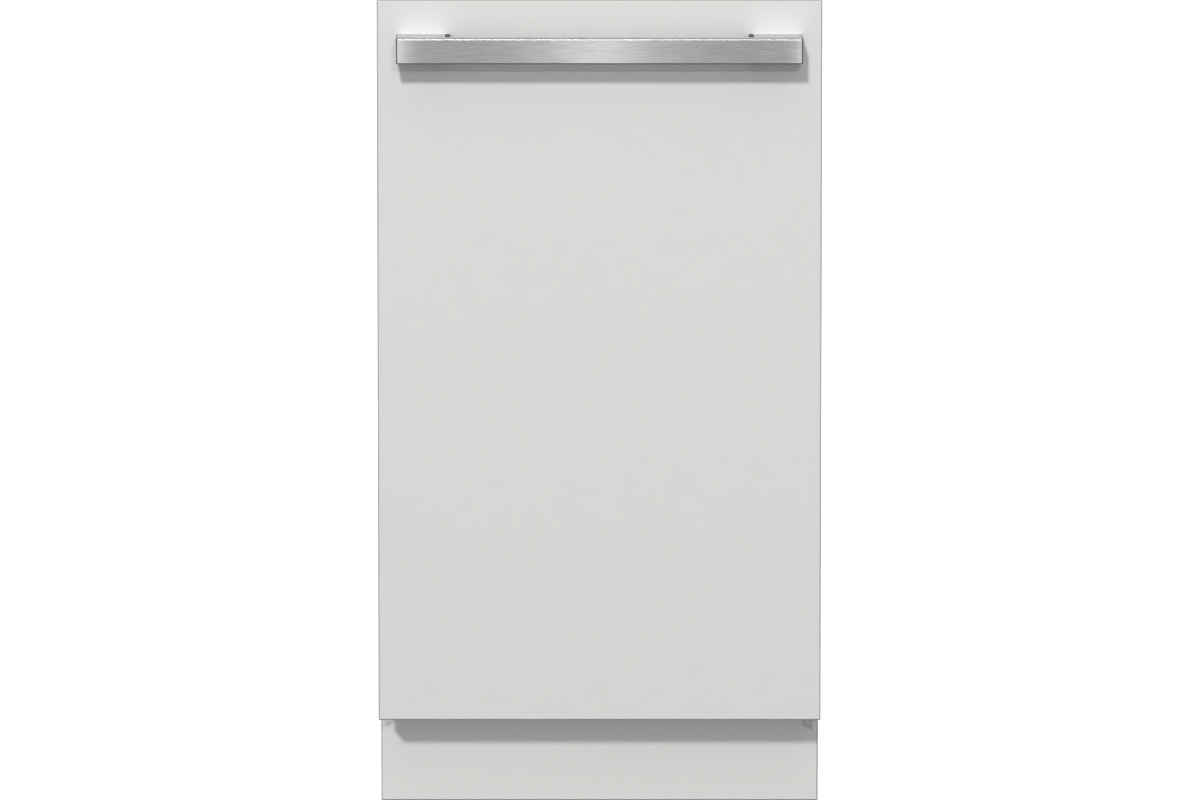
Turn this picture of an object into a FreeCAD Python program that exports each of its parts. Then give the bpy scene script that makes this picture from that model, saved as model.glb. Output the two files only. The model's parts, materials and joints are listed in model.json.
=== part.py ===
"""Built-in slimline dishwasher with a furniture front, a bar handle and a plinth.

The frame has +Z up and the front facing -Y. The origin is on the floor, in the middle of the width and of
the whole depth, handle included. All sizes are millimetres. Each function below makes one sub-part and has
the name of its node.
"""

import FreeCAD, Part
import os
import re
import Sketcher

# Driving sizes
SIZES = {
    # Whole machine
    "width": 448,
    "height": 830,
    "body_depth": 550,
    "skin": 1,
    "sheet": 1.2,
    "run_gap": 0.4,
    "fit_gap": 0.2,
    "pin_gap": 0.06,
    # Furniture front, handle and plinth
    "panel_thick": 19,
    "panel_low": 94.2,
    "panel_gap": 2,
    "panel_edge": 1.5,
    "handle_reach": 40,
    "handle_length": 408,
    "handle_high": 26,
    "handle_bar": 11,
    "handle_foot": 55,
    "handle_drop": 34,
    "handle_bend": 8,
    "handle_edge": 1.5,
    "plinth_recess": 47,
    "plinth_thick": 16,
    "plinth_top": 94,
    "plinth_notch": 1,
    "plinth_side": 1.8,
    "plinth_lift": 3,
    "plinth_arm_wide": 24,
    "plinth_arm_high": 30,
    "plinth_arm_inset": 50,
    # Door
    "door_thick": 58,
    "door_lip": 5.8,
    "door_gap": 4,
    "door_inset": 5,
    "door_flange": 38,
    "liner_lip": 4,
    "liner_rise": 46,
    "control_high": 55,
    "control_wall": 2.5,
    "hinge_set": 12,
    "hinge_drop": 2.2,
    "hinge_pin": 4,
    "hinge_lobe": 7,
    "hinge_strap": 5,
    "bracket_thick": 4,
    "bracket_foot": 60,
    "arm_thick": 3,
    "arm_lobe": 9,
    "arm_rise": 120,
    "arm_lever": 22,
    "strap_thick": 1.2,
    "spring_radius": 6,
    "spring_length": 140,
    "spring_start": 86,
    "screw_shank": 2,
    "screw_head": 4.5,
    "screw_head_high": 2.6,
    "screw_bite": 12,
    "fixing_inset": 22,
    "fixing_low": 60,
    "fixing_high": 560,
    # Controls on the door's top edge
    "button_long": 22,
    "button_deep": 9,
    "button_proud": 0.8,
    "button_lip": 2,
    "button_stem": 2,
    "button_travel": 1.2,
    "button_inset": 34,
    "button_pitch": 70,
    "display_long": 110,
    "display_deep": 18,
    "board_drop": 22,
    "board_thick": 1.6,
    "lock_wide": 44,
    "lock_deep": 28,
    "lock_high": 12,
    "strike_wide": 16,
    "strike_thick": 4,
    "strike_reach": 24,
    "strike_drop": 8,
    "strike_room": 2.5,
    # Detergent dispenser
    "dispenser_wide": 176,
    "dispenser_high": 190,
    "dispenser_rise": 300,
    "dispenser_lip": 2.5,
    "dispenser_deep": 28,
    "dispenser_rim": 5,
    "lid_wide": 90,
    "lid_high": 85,
    "lid_thick": 2.5,
    "lid_inset": 8,
    "lid_travel": 80,
    "lid_guide": 3,
    "chamber_deep": 22,
    "chamber_rim": 6,
    "rinse_x": 46,
    "rinse_rise": 60,
    "rinse_radius": 20,
    "rinse_plug": 15,
    "rinse_high": 5,
    # Tub and cabinet
    "side_space": 24,
    "tub_corner": 28,
    "roof_space": 29,
    "back_space": 20,
    "seal_thick": 8,
    "seal_wide": 13,
    "seal_round": 2.5,
    "frame_drop": 20,
    "cover_flange": 15,
    "skirt": 60,
    "worktop_hole": 2.5,
    "worktop_inset": 44,
    "worktop_set": 12,
    "base_lift": 30,
    "tray_wall": 3,
    "port_reach": 18,
    # Feet
    "foot_radius": 20,
    "foot_high": 10,
    "foot_collar": 11,
    "foot_stem": 6,
    "foot_stem_top": 92,
    "foot_boss": 12,
    "foot_boss_high": 70,
    "foot_inset": 36,
    "foot_front": 34,
    "foot_back": 24,
    # Sump, filters and pumps
    "sump_half": 75,
    "sump_front": 114,
    "sump_behind": 46,
    "sump_corner": 28,
    "sump_bottom": 50,
    "sump_wall": 3,
    "sump_flange": 10,
    "hub_radius": 12,
    "filter_offset": 66,
    "filter_radius": 36,
    "filter_wall": 3,
    "filter_deep": 68,
    "filter_lip": 4,
    "filter_seat": 4,
    "filter_grip": 12,
    "pump_axis": 88,
    "pump_offset": 40,
    "pump_radius": 42,
    "pump_long": 38,
    "pump_wall": 3,
    "pump_pipe": 16,
    "pump_gap": 9,
    "pump_outlet": 13,
    "pump_outlet_long": 56,
    "motor_radius": 38,
    "motor_long": 62,
    "impeller_radius": 34,
    "impeller_thick": 3,
    "impeller_vane": 12,
    "impeller_hub": 8,
    "shaft_radius": 4.5,
    "shaft_bite": 10,
    "heater_radius": 24,
    "heater_long": 110,
    "heater_pipe": 11,
    "heater_pipe_set": 20,
    "drain_x": -40,
    "drain_axis": 70,
    "drain_radius": 24,
    "drain_long": 70,
    "drain_port": 20,
    "hose_radius": 9,
    "hose_bore": 6.5,
    "spigot_radius": 10.5,
    "hose_axis": 116,
    "softener_wide": 124,
    "softener_room": 17.5,
    "softener_gap": 10,
    "softener_bottom": 45,
    "softener_front": 120,
    "neck_radius": 34,
    "neck_bore": 28,
    "neck_rise": 6,
    "neck_deep": 30,
    "neck_inset": 70,
    "cap_radius": 35,
    "cap_high": 4.5,
    "cap_grip": 4,
    "inlet_radius": 13.2,
    "inlet_neck": 11,
    "inlet_inset": 69,
    "inlet_axis": 85,
    "valve_wide": 50,
    "valve_high": 50,
    "valve_long": 48,
    "gland_x": 60,
    "gland_axis": 85,
    "gland_radius": 9,
    "gland_bore": 4.3,
    "gland_flange": 14,
    "gland_flange_thick": 4,
    # Water feed and spray arms
    "feed_wide": 36,
    "feed_thick": 18,
    "feed_flat": 12,
    "feed_nose": 6,
    "stub_radius": 9,
    "arm_half": 18,
    "arm_tip": 10,
    "arm_thickness": 12,
    "arm_boss": 16,
    "arm_boss_high": 7,
    "arm_round": 7,
    "arm_nut": 14,
    "arm_nut_high": 5,
    "nozzle_radius": 1.6,
    "nozzle_deep": 5,
    "lower_clear": 22,
    "middle_clear": 32,
    "top_clear": 50,
    "lower_arm_rise": 17,
    # Racks
    "rack_wire": 3,
    "rack_mesh": 32,
    "rack_front": 22,
    "rack_rear": 30,
    "tine_radius": 1.5,
    "rail_deep": 12,
    "rail_high": 30,
    "rail_wall": 1.5,
    "rail_rise": 406,
    "upper_floor": 335,
    "upper_high": 116,
    "upper_tine": 40,
    "shelf_wide": 84,
    "shelf_rise": 98,
    "shelf_rod": 3,
    "shelf_inset": 24,
    "tray_mesh": 24,
    "tray_drop": 84.8,
    "tray_high": 30,
    "tray_rail_high": 16,
    "tray_slot": 8,
    "tray_slot_rise": 27,
    "tray_edge": 3,
    "lower_side": 18,
    "lower_floor": 45,
    "lower_high": 146,
    "lower_front_high": 92,
    "lower_tine": 66,
    "wheel_radius": 18,
    "wheel_thick": 9.6,
    "wheel_side": 4.2,
    "axle_radius": 4,
    "axle_front": 102,
    "axle_back": 59,
    "hanger_wide": 26,
}

# Places worked out from the driving sizes, as expressions
HALF = "(width / 2)"
SIDE = "(width / 2 - skin)"
PLANE = "((handle_reach + panel_thick - body_depth) / 2)"
PANEL_FRONT = f"({PLANE} - panel_thick)"
LINER = f"({PLANE} + door_thick)"
FRAME = f"({LINER} + seal_thick)"
TUB_FRONT = f"({FRAME} + sheet)"
BACK = f"({PLANE} + body_depth)"
TUB_BACK = f"({BACK} - back_space)"
TRAY_BACK = f"({BACK} - port_reach)"
PANEL_TOP = "(height - panel_gap)"
PANEL_BOTTOM = "(panel_low)"
HINGE_Y = f"({PLANE} + hinge_set)"
HINGE_Z = f"({PANEL_BOTTOM} - hinge_drop)"
DOOR_SIDE = f"({HALF} - door_inset)"
DOOR_BOTTOM = f"({PANEL_BOTTOM} + door_lip)"
DOOR_TOP = "(height - door_gap)"
CONTROL_BOTTOM = f"({DOOR_TOP} - control_high)"
CONTROL_BACK = f"({LINER} - sheet - fit_gap)"
CONTROL_MID = f"(({PLANE} + {CONTROL_BACK}) / 2)"
START_X = f"({DOOR_SIDE} - button_inset)"
POWER_X = f"(-{START_X})"
PROGRAM_X = f"({POWER_X} + button_pitch)"
CONTROL_ROOF = f"({DOOR_TOP} - control_wall)"
ARM_OUT = f"({DOOR_SIDE} - skin)"
ARM_IN = f"({ARM_OUT} - arm_thick)"
BRACKET_OUT = f"({ARM_IN} - run_gap)"
BRACKET_IN = f"({BRACKET_OUT} - bracket_thick)"
FLOOR = f"({HINGE_Z} + door_thick - hinge_set)"
FLOOR_TOP = f"({FLOOR} + sheet)"
ROOF = "(height - roof_space)"
COVER = "(height - cover_flange)"
TUB = "(width / 2 - side_space)"
TUB_OUT = f"({TUB} + sheet)"
ARM_Y = f"(({TUB_FRONT} + {TUB_BACK}) / 2)"
FILTER_Y = f"({ARM_Y} - filter_offset)"
SUMP_FRONT = f"({ARM_Y} - sump_front)"
SUMP_BACK = f"({ARM_Y} + sump_behind)"
PUMP_Y = f"({ARM_Y} - pump_offset)"
PUMP_X = "(sump_half + pump_gap)"
PUMP_END = f"({PUMP_X} + pump_long)"
OUTLET_X = f"({PUMP_X} + pump_long / 2)"
OUTLET_END = f"({PUMP_Y} + pump_outlet_long)"
HEATER_PIPE_Y = f"({OUTLET_END} + heater_long - heater_pipe_set)"
HOSE_Y = f"({SUMP_BACK} + drain_port)"
INLET_X = f"({HALF} - inlet_inset)"
NECK_X = f"(neck_inset - {TUB})"
SOFTENER_Y = (f"{ARM_Y} + softener_front", f"{TRAY_BACK} - tray_wall - softener_gap")
NECK_Y = f"(({SOFTENER_Y[0]} + {SOFTENER_Y[1]}) / 2)"
NECK_TOP = f"({FLOOR_TOP} + neck_rise)"
HUB_TOP = f"({FLOOR_TOP} + lower_arm_rise + arm_thickness / 2)"
LOWER_ARM = f"({FLOOR_TOP} + lower_arm_rise)"
RACK_FRONT = f"({TUB_FRONT} + rack_front)"
RACK_BACK = f"({TUB_BACK} - rack_rear)"
RAIL_Z = f"({FLOOR_TOP} + rail_rise)"
SLIDE_OUT = f"({TUB} - rail_wall - run_gap)"
RUNNER_OUT = f"({SLIDE_OUT} - rail_wall - run_gap)"
UPPER_HALF = f"({TUB} - rail_deep - 2 * run_gap)"
UPPER_FLOOR = f"({FLOOR_TOP} + upper_floor)"
UPPER_DECK = f"({UPPER_FLOOR} + rack_wire)"
UPPER_TOP = f"({UPPER_FLOOR} + upper_high)"
DUCT_BOTTOM = f"({UPPER_FLOOR} - feed_flat)"
SHELF_X = f"(-{UPPER_HALF} + rack_wire + run_gap + shelf_rod)"
SHELF_Z = f"({UPPER_FLOOR} + shelf_rise)"
TRAY_FLOOR = f"({ROOF} - tray_drop)"
TRAY_TOP = f"({TRAY_FLOOR} + tray_high)"
TRAY_RAIL = f"({TRAY_FLOOR} + tray_slot_rise)"
TRAY_HALF = f"({TUB} - rail_deep - run_gap)"
LOWER_FLOOR = f"({FLOOR_TOP} + lower_floor)"
LOWER_DECK = f"({LOWER_FLOOR} + rack_wire)"
LOWER_TOP = f"({LOWER_FLOOR} + lower_high)"
LOWER_FRONT_TOP = f"({LOWER_FLOOR} + lower_front_high)"
AXLE_Z = f"({FLOOR_TOP} + wheel_radius + run_gap)"
LOWER_HALF = f"({TUB} - lower_side)"
WHEEL_IN = f"({LOWER_HALF} + wheel_side)"
WHEEL_OUT = f"({WHEEL_IN} + wheel_thick)"
DISPENSER_LOW = f"({DOOR_BOTTOM} + dispenser_rise)"
DISPENSER_FACE = f"({LINER} + dispenser_lip)"
LID_LOW = f"({DISPENSER_LOW} + dispenser_rim)"
LID_LEFT = "(lid_inset - dispenser_wide / 2)"
RINSE_Z = f"({DISPENSER_LOW} + rinse_rise)"
HANDLE_TOP = f"({PANEL_TOP} - handle_drop)"
HANDLE_BOTTOM = f"({HANDLE_TOP} - handle_high)"
HANDLE_FRONT = f"({PANEL_FRONT} - handle_reach)"
SCREW_X = "(handle_length / 2 - handle_foot / 2)"
SCREW_Z = f"({HANDLE_TOP} - handle_high / 2)"
FOOT_FRONT_Y = f"({TUB_FRONT} + foot_front)"
FOOT_BACK_Y = f"({TRAY_BACK} - foot_back)"
SPRING_Y = f"({TUB_FRONT} + spring_start)"
SPRING_X = f"({SIDE} - tray_wall - run_gap - spring_radius)"
LEVER_Z = (f"{HINGE_Z} - hinge_pin", f"{HINGE_Z} + hinge_pin")
RACK_Y = (RACK_FRONT, RACK_BACK)
RACK_INNER_Y = (f"{RACK_FRONT} + rack_wire", f"{RACK_BACK} - rack_wire")

doc = FreeCAD.newDocument("dishwasher")
dims = doc.addObject("Spreadsheet::Sheet", "dims")
for row, (alias, value) in enumerate(SIZES.items(), 1):
    dims.set(f"A{row}", alias)
    dims.set(f"B{row}", str(value))
    dims.setAlias(f"B{row}", alias)
doc.recompute()

WORD = re.compile(r"[a-z_]\w*")
TURNS = {
    "X": FreeCAD.Rotation(FreeCAD.Vector(0, 1, 0), 90),
    "Y": FreeCAD.Rotation(FreeCAD.Vector(1, 0, 0), -90),
    "Z": FreeCAD.Rotation(),
}
PLANES = {"XY": "XY_Plane", "XZ": "XZ_Plane", "YZ": "YZ_Plane"}


# Tools that tie shapes to the sheet
def linked(expression):
    """The expression with each driving size read from the sheet."""
    return WORD.sub(lambda word: f"dims.{word[0]}" if word[0] in SIZES else word[0], str(expression))


def number(expression):
    """The expression's value with the sizes that the sheet holds now."""
    value = dims.evalExpression(linked(expression))
    return float(getattr(value, "Value", value))


def bind(thing, **places):
    """Ties properties of an object to the sheet."""
    for name, expression in places.items():
        thing.setExpression(name, linked(expression))
    return thing


def put(thing, x=0, y=0, z=0, turn=None):
    """Places an object by expressions, turned as given."""
    thing.Placement = FreeCAD.Placement(FreeCAD.Vector(), turn or FreeCAD.Rotation())
    for axis, expression in zip("xyz", (x, y, z)):
        thing.setExpression(f"Placement.Base.{axis}", linked(expression))
    return thing


def box(x, y, z):
    """A block between (low, high) pairs of expressions."""
    block = doc.addObject("Part::Box", "block")
    sizes = [f"({high}) - ({low})" for low, high in (x, y, z)]
    bind(block, Length=sizes[0], Width=sizes[1], Height=sizes[2])
    return put(block, x[0], y[0], z[0])


def spot(along, centre, height):
    """A point on an axis: centre is the other two coordinates, in X, Y, Z order."""
    a, b = centre
    return {"X": (height, a, b), "Y": (a, height, b), "Z": (a, b, height)}[along]


def rod(along, centre, span, radius):
    """A cylinder along an axis, from span's low end to its high end."""
    cylinder = doc.addObject("Part::Cylinder", "rod")
    bind(cylinder, Radius=radius, Height=f"({span[1]}) - ({span[0]})")
    return put(cylinder, *spot(along, centre, span[0]), TURNS[along])


def ball(x, y, z, radius):
    """A sphere, for the corner of a pipe."""
    return put(bind(doc.addObject("Part::Sphere", "ball"), Radius=radius), x, y, z)


def wide(half):
    """The span from -half to half."""
    return (f"-({half})", half)


def joined(tools):
    """One tool, or several as one."""
    if len(tools) == 1:
        return tools[0]
    union = doc.addObject("Part::MultiFuse", "union")
    union.Shapes = list(tools)
    return union


def cut(base, *tools):
    """Base with the tools taken away."""
    result = doc.addObject("Part::Cut", "cut")
    result.Base = base
    result.Tool = joined(tools)
    return result


def fuse(*pieces):
    """The pieces as one solid."""
    return joined(pieces)


def group(*pieces):
    """Separate solids of one node."""
    result = doc.addObject("Part::Compound", "group")
    result.Links = list(pieces)
    return result


def mirror(piece):
    """The piece on the other side of the middle plane."""
    result = doc.addObject("Part::Mirroring", "mirror")
    result.Source = piece
    result.Normal = FreeCAD.Vector(1, 0, 0)
    return result


def pair(piece):
    """The piece and its mirror image."""
    return group(piece, mirror(piece))


def outline(body, plane, loops):
    """A sketch of closed straight loops whose corners are held by expressions."""
    sketch = body.newObject("Sketcher::SketchObject", "outline")
    face = next(f for f in body.Origin.OriginFeatures if f.Role == PLANES[plane])
    sketch.AttachmentSupport = (face, [""])
    sketch.MapMode = "FlatFace"
    for loop in loops:
        corners = [FreeCAD.Vector(number(a), number(b), 0) for a, b in loop]
        first = sketch.GeometryCount
        count = len(loop)
        for i, corner in enumerate(corners):
            sketch.addGeometry(Part.LineSegment(corner, corners[(i + 1) % count]), False)
        for i in range(count):
            sketch.addConstraint(Sketcher.Constraint("Coincident", first + i, 2, first + (i + 1) % count, 1))
        for i, expressions in enumerate(loop):
            for kind, expression in zip(("DistanceX", "DistanceY"), expressions):
                rule = Sketcher.Constraint(kind, -1, 1, first + i, 1, number(expression))
                sketch.setExpression(f"Constraints[{sketch.addConstraint(rule)}]", linked(expression))
    return sketch


def prism(plane, span, *loops):
    """A padded body: loops on a plane, stretched over span along the third axis."""
    body = doc.addObject("PartDesign::Body", "body")
    pad = body.newObject("PartDesign::Pad", "pad")
    pad.Profile = outline(body, plane, loops)
    bind(pad, Length=f"({span[1]}) - ({span[0]})")
    start = {"XY": (0, 0, span[0]), "XZ": (0, span[1], 0), "YZ": (span[0], 0, 0)}[plane]
    put(body, *start)
    doc.recompute()
    return body


def rectangle(x, y):
    """The corners of a rectangle from two (low, high) pairs."""
    return [(x[0], y[0]), (x[1], y[0]), (x[1], y[1]), (x[0], y[1])]


def turned(along, centre, profile):
    """A body of revolution: profile holds (radius, height along the axis)."""
    body = doc.addObject("PartDesign::Body", "body")
    sketch = outline(body, "XZ", [profile])
    spin = body.newObject("PartDesign::Revolution", "spin")
    spin.Profile = sketch
    spin.ReferenceAxis = (sketch, ["V_Axis"])
    spin.Angle = 360
    return put(body, *spot(along, centre, 0), TURNS[along])


def edges_where(body, test):
    """Names of a body's edges, in its own frame, that pass a test on their middle and direction."""
    names = []
    for i, edge in enumerate(body.Tip.Shape.Edges, 1):
        middle = edge.valueAt((edge.FirstParameter + edge.LastParameter) / 2)
        direction = edge.tangentAt(edge.FirstParameter)
        if test(middle, direction):
            names.append(f"Edge{i}")
    return names


def soften(body, radius, test):
    """Rounds the edges of a body that pass a test."""
    base = (body.Tip, edges_where(body, test))
    fillet = body.newObject("PartDesign::Fillet", "fillet")
    fillet.Base = base
    bind(fillet, Radius=radius)
    doc.recompute()
    return body


def along_axis(direction, axis):
    """True where an edge runs along an axis."""
    return abs(getattr(direction, axis)) > 0.999


def net(plane, span, first, second, pitch):
    """A flat welded grid: one face with a rectangular gap between each two wires, as thick as span."""
    wire = number("rack_wire")
    lows = [number(first[0]), number(second[0])]
    highs = [number(first[1]), number(second[1])]
    counts = [max(1, round((high - low - wire) / number(pitch))) for low, high in zip(lows, highs)]
    steps = [(high - low - wire) / count for low, high, count in zip(lows, highs, counts)]

    start = number(span[0])

    def loop(a_ends, b_ends):
        """A closed rectangle through the ends in the order given, so that a gap runs against the rim."""
        points = rectangle(a_ends, b_ends)
        return Part.makePolygon([space(plane, a, b, start) for a, b in [*points, points[0]]])

    gaps = []
    for i in range(counts[0]):
        for j in range(counts[1]):
            a = lows[0] + i * steps[0] + wire
            b = lows[1] + j * steps[1] + wire
            gaps.append(loop((a + steps[0] - wire, a), (b, b + steps[1] - wire)))
    face = Part.Face([loop((lows[0], highs[0]), (lows[1], highs[1])), *gaps])
    grid = doc.addObject("Part::Feature", "net")
    grid.Shape = face.extrude(space(plane, 0, 0, number(span[1]) - start))
    return grid


def space(plane, a, b, offset):
    """A point from two coordinates on a plane and the offset along the third axis."""
    point = {"XY": (a, b, offset), "XZ": (a, offset, b), "YZ": (offset, a, b)}[plane]
    return FreeCAD.Vector(*point)


# Cabinet, from the floor up
def base_tray():
    """Plastic base pan with foot bosses, plinth arms, spring posts and openings for hinges and ports."""
    y = (TUB_FRONT, TRAY_BACK)
    inner_y = (f"{y[0]} + tray_wall", f"{y[1]} - tray_wall")
    shell = cut(
        box(wide(SIDE), y, ("base_lift", FLOOR)),
        box(wide(f"{SIDE} - tray_wall"), inner_y, ("base_lift + tray_wall", f"{FLOOR} + 1")),
    )
    boss_z = ("base_lift", "base_lift + foot_boss_high")
    bosses = [rod("Z", centre, boss_z, "foot_boss") for centre in FOOT_PLACES.values()]
    bores = [rod("Z", c, ("0", FLOOR), "foot_stem + fit_gap") for c in FOOT_PLACES.values()]
    plinth_back = f"({PANEL_FRONT} + plinth_recess + plinth_thick)"
    arm_z = ("base_lift + tray_wall", "base_lift + tray_wall + plinth_arm_high")
    arm_x = (f"{HALF} - plinth_arm_inset - plinth_arm_wide", f"{HALF} - plinth_arm_inset")
    arm = box(arm_x, (plinth_back, TUB_FRONT), arm_z)
    post_y = (f"{SPRING_Y} + spring_length", f"{SPRING_Y} + spring_length + tray_wall")
    post = box((BRACKET_IN, SIDE), post_y, ("base_lift", f"{HINGE_Z} + spring_radius"))
    slot_z = (f"{HINGE_Z} - hinge_strap - run_gap", f"{HINGE_Z} + hinge_strap + run_gap")
    slot_x = (f"{BRACKET_IN} - run_gap", f"{SIDE} - tray_wall")
    slot = box(slot_x, (f"{TUB_FRONT} - 1", inner_y[0]), slot_z)
    back_y = (inner_y[1], f"{TRAY_BACK} + 1")
    ports = [
        rod("Y", (INLET_X, "inlet_axis"), back_y, "inlet_neck + fit_gap"),
        rod("Y", ("gland_x", "gland_axis"), back_y, "gland_radius + fit_gap"),
        rod("Y", ("drain_x", "hose_axis"), back_y, "hose_radius + fit_gap"),
    ]
    solid = fuse(shell, *bosses, arm, mirror(arm), post, mirror(post))
    return cut(solid, *bores, slot, mirror(slot), *ports)


def tub_wrap():
    """Steel sheet bent into the tub's two sides and roof."""
    corners = [
        (f"-{TUB_OUT}", FLOOR_TOP),
        (f"-{TUB_OUT}", f"{ROOF} + sheet"),
        (TUB_OUT, f"{ROOF} + sheet"),
        (TUB_OUT, FLOOR_TOP),
        (TUB, FLOOR_TOP),
        (TUB, ROOF),
        (f"-{TUB}", ROOF),
        (f"-{TUB}", FLOOR_TOP),
    ]
    body = prism("XZ", (TUB_FRONT, TUB_BACK), corners)
    middle = number(f"({ROOF} + {FLOOR_TOP}) / 2")
    split = number(f"{ROOF} + sheet / 2")

    def outer(point, direction):
        return along_axis(direction, "y") and point.z > split

    def inner(point, direction):
        return along_axis(direction, "y") and middle < point.z < split and abs(point.x) > number(TUB) - 1

    soften(body, "tub_corner + sheet", outer)
    return soften(body, "tub_corner", inner)


def tub_back():
    """Steel rear wall of the tub."""
    plate = rectangle(wide(TUB_OUT), (FLOOR_TOP, f"{ROOF} + sheet"))
    body = prism("XZ", (TUB_BACK, f"{TUB_BACK} + sheet"), plate)
    middle = number(f"({ROOF} + {FLOOR_TOP}) / 2")
    return soften(body, "tub_corner + sheet", lambda p, d: along_axis(d, "y") and p.z > middle)


def sump_shape(grow, z):
    """The sump's rounded outline, grown by an expression, over a height span."""
    x = wide(f"sump_half + ({grow})")
    y = (f"{SUMP_FRONT} - ({grow})", f"{SUMP_BACK} + ({grow})")
    return soften(prism("XY", z, rectangle(x, y)), f"sump_corner + ({grow})", lambda p, d: along_axis(d, "z"))


def tub_floor():
    """Steel tub floor with openings for the sump, the salt neck and the water feed."""
    plate = box(wide(TUB_OUT), (TUB_FRONT, f"{TUB_BACK} + sheet"), (FLOOR, FLOOR_TOP))
    through = (f"{FLOOR} - 1", f"{FLOOR_TOP} + 1")
    return cut(
        plate,
        sump_shape("0 - sump_wall", through),
        rod("Z", (NECK_X, NECK_Y), through, "neck_radius + fit_gap"),
        rod("Z", ("0", HEATER_PIPE_Y), through, "heater_pipe + fit_gap"),
    )


def front_frame():
    """Steel frame round the tub's mouth."""
    outer = rectangle(wide(SIDE), (f"{FLOOR} - frame_drop", COVER))
    mouth = rectangle(wide(TUB), (FLOOR_TOP, ROOF))
    body = prism("XZ", (FRAME, TUB_FRONT), outer, mouth)
    middle = number(f"({ROOF} + {FLOOR_TOP}) / 2")
    edge = number(f"{TUB} + 1")

    def mouth_corner(point, direction):
        return along_axis(direction, "y") and abs(point.x) < edge and point.z > middle

    return soften(body, "tub_corner", mouth_corner)


def door_gasket():
    """Rubber seal on the front frame, all round the tub's mouth."""
    outer = rectangle(wide(f"{TUB} + seal_wide"), (f"{FLOOR_TOP} - seal_wide", f"{ROOF} + seal_wide"))
    inner = rectangle(wide(f"{TUB} + skin"), (f"{FLOOR_TOP} - skin", f"{ROOF} + skin"))
    body = prism("XZ", (f"{LINER} + run_gap", FRAME), outer, inner)
    middle = number(f"({ROOF} + {FLOOR_TOP}) / 2")
    edge = number(f"{TUB} + seal_wide / 2")

    def corner(point, direction, far):
        return along_axis(direction, "y") and point.z > middle and (abs(point.x) > edge) == far

    soften(body, "tub_corner + seal_wide", lambda p, d: corner(p, d, True))
    soften(body, "tub_corner + skin", lambda p, d: corner(p, d, False))
    front = number(f"{LINER} + run_gap - {FRAME}")
    return soften(body, "seal_round", lambda p, d: abs(p.y - front) < 0.01 and not along_axis(d, "y"))


def side_panel():
    """Steel side panel on the right."""
    return box((SIDE, HALF), (FRAME, BACK), ("skirt", COVER))


def side_panel_left():
    """Steel side panel on the left."""
    return mirror(side_panel())


def side_panel_right():
    """Steel side panel on the right."""
    return side_panel()


def rear_panel():
    """Steel back panel above the ports."""
    return box(wide(SIDE), (f"{BACK} - skin", BACK), (FLOOR_TOP, COVER))


def top_cover():
    """Steel lid with turned-down flanges and two screw holes for the worktop."""
    lid = cut(
        box(wide(HALF), (FRAME, BACK), (COVER, "height")),
        box(wide(SIDE), (f"{FRAME} + skin", f"{BACK} - skin"), (f"{COVER} - 1", "height - skin")),
    )
    place = (f"{HALF} - worktop_inset", f"{FRAME} + worktop_set")
    hole = rod("Z", place, ("height - 2 * skin", "height + 1"), "worktop_hole")
    return cut(lid, hole, mirror(hole))


def plinth_panel():
    """Kick board below the door, carried by the tray's two arms and notched for the hinges."""
    y = (f"{PANEL_FRONT} + plinth_recess", f"{PANEL_FRONT} + plinth_recess + plinth_thick")
    end = f"({HALF} - plinth_side)"
    side = f"({BRACKET_IN} - plinth_notch)"
    shoulder = f"({HINGE_Z} - hinge_strap - plinth_notch)"
    corners = [
        (f"-{end}", "plinth_lift"),
        (end, "plinth_lift"),
        (end, shoulder),
        (side, shoulder),
        (side, "plinth_top"),
        (f"-{side}", "plinth_top"),
        (f"-{side}", shoulder),
        (f"-{end}", shoulder),
    ]
    body = prism("XZ", y, corners)
    front = number("-plinth_thick")
    return soften(body, "panel_edge", lambda p, d: abs(p.y - front) < 0.01)


# Water works under the tub floor
def sump():
    """Plastic well under the filters, with a flange under the tub floor and the lower arm's hub."""
    flange = sump_shape("sump_flange", (f"{FLOOR} - sump_wall", FLOOR))
    shell = sump_shape("0", ("sump_bottom", FLOOR))
    hollow = sump_shape("0 - sump_wall", ("sump_bottom + sump_wall", f"{FLOOR} + 1"))
    hub = rod("Z", ("0", ARM_Y), ("sump_bottom", HUB_TOP), "hub_radius")
    wall_x = ("sump_half - sump_wall - 1", "sump_half + 1")
    to_pump = rod("X", (PUMP_Y, "pump_axis"), wall_x, "pump_pipe - pump_wall")
    wall_y = (f"{SUMP_BACK} - sump_wall - 1", f"{SUMP_BACK} + 1")
    to_drain = rod("Y", ("drain_x", "drain_axis"), wall_y, "hose_bore")
    return fuse(cut(fuse(flange, shell), hollow, to_pump, to_drain), hub)


def filter_plate():
    """Flat fine filter in the mouth of the sump."""
    z = (f"{FLOOR} - filter_seat - sheet", f"{FLOOR} - filter_seat")
    through = (f"{FLOOR} - filter_deep", FLOOR)
    return cut(
        sump_shape("0 - sump_wall - fit_gap", z),
        rod("Z", ("0", ARM_Y), through, "hub_radius + fit_gap"),
        rod("Z", ("0", FILTER_Y), through, "filter_radius + run_gap"),
    )


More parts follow.
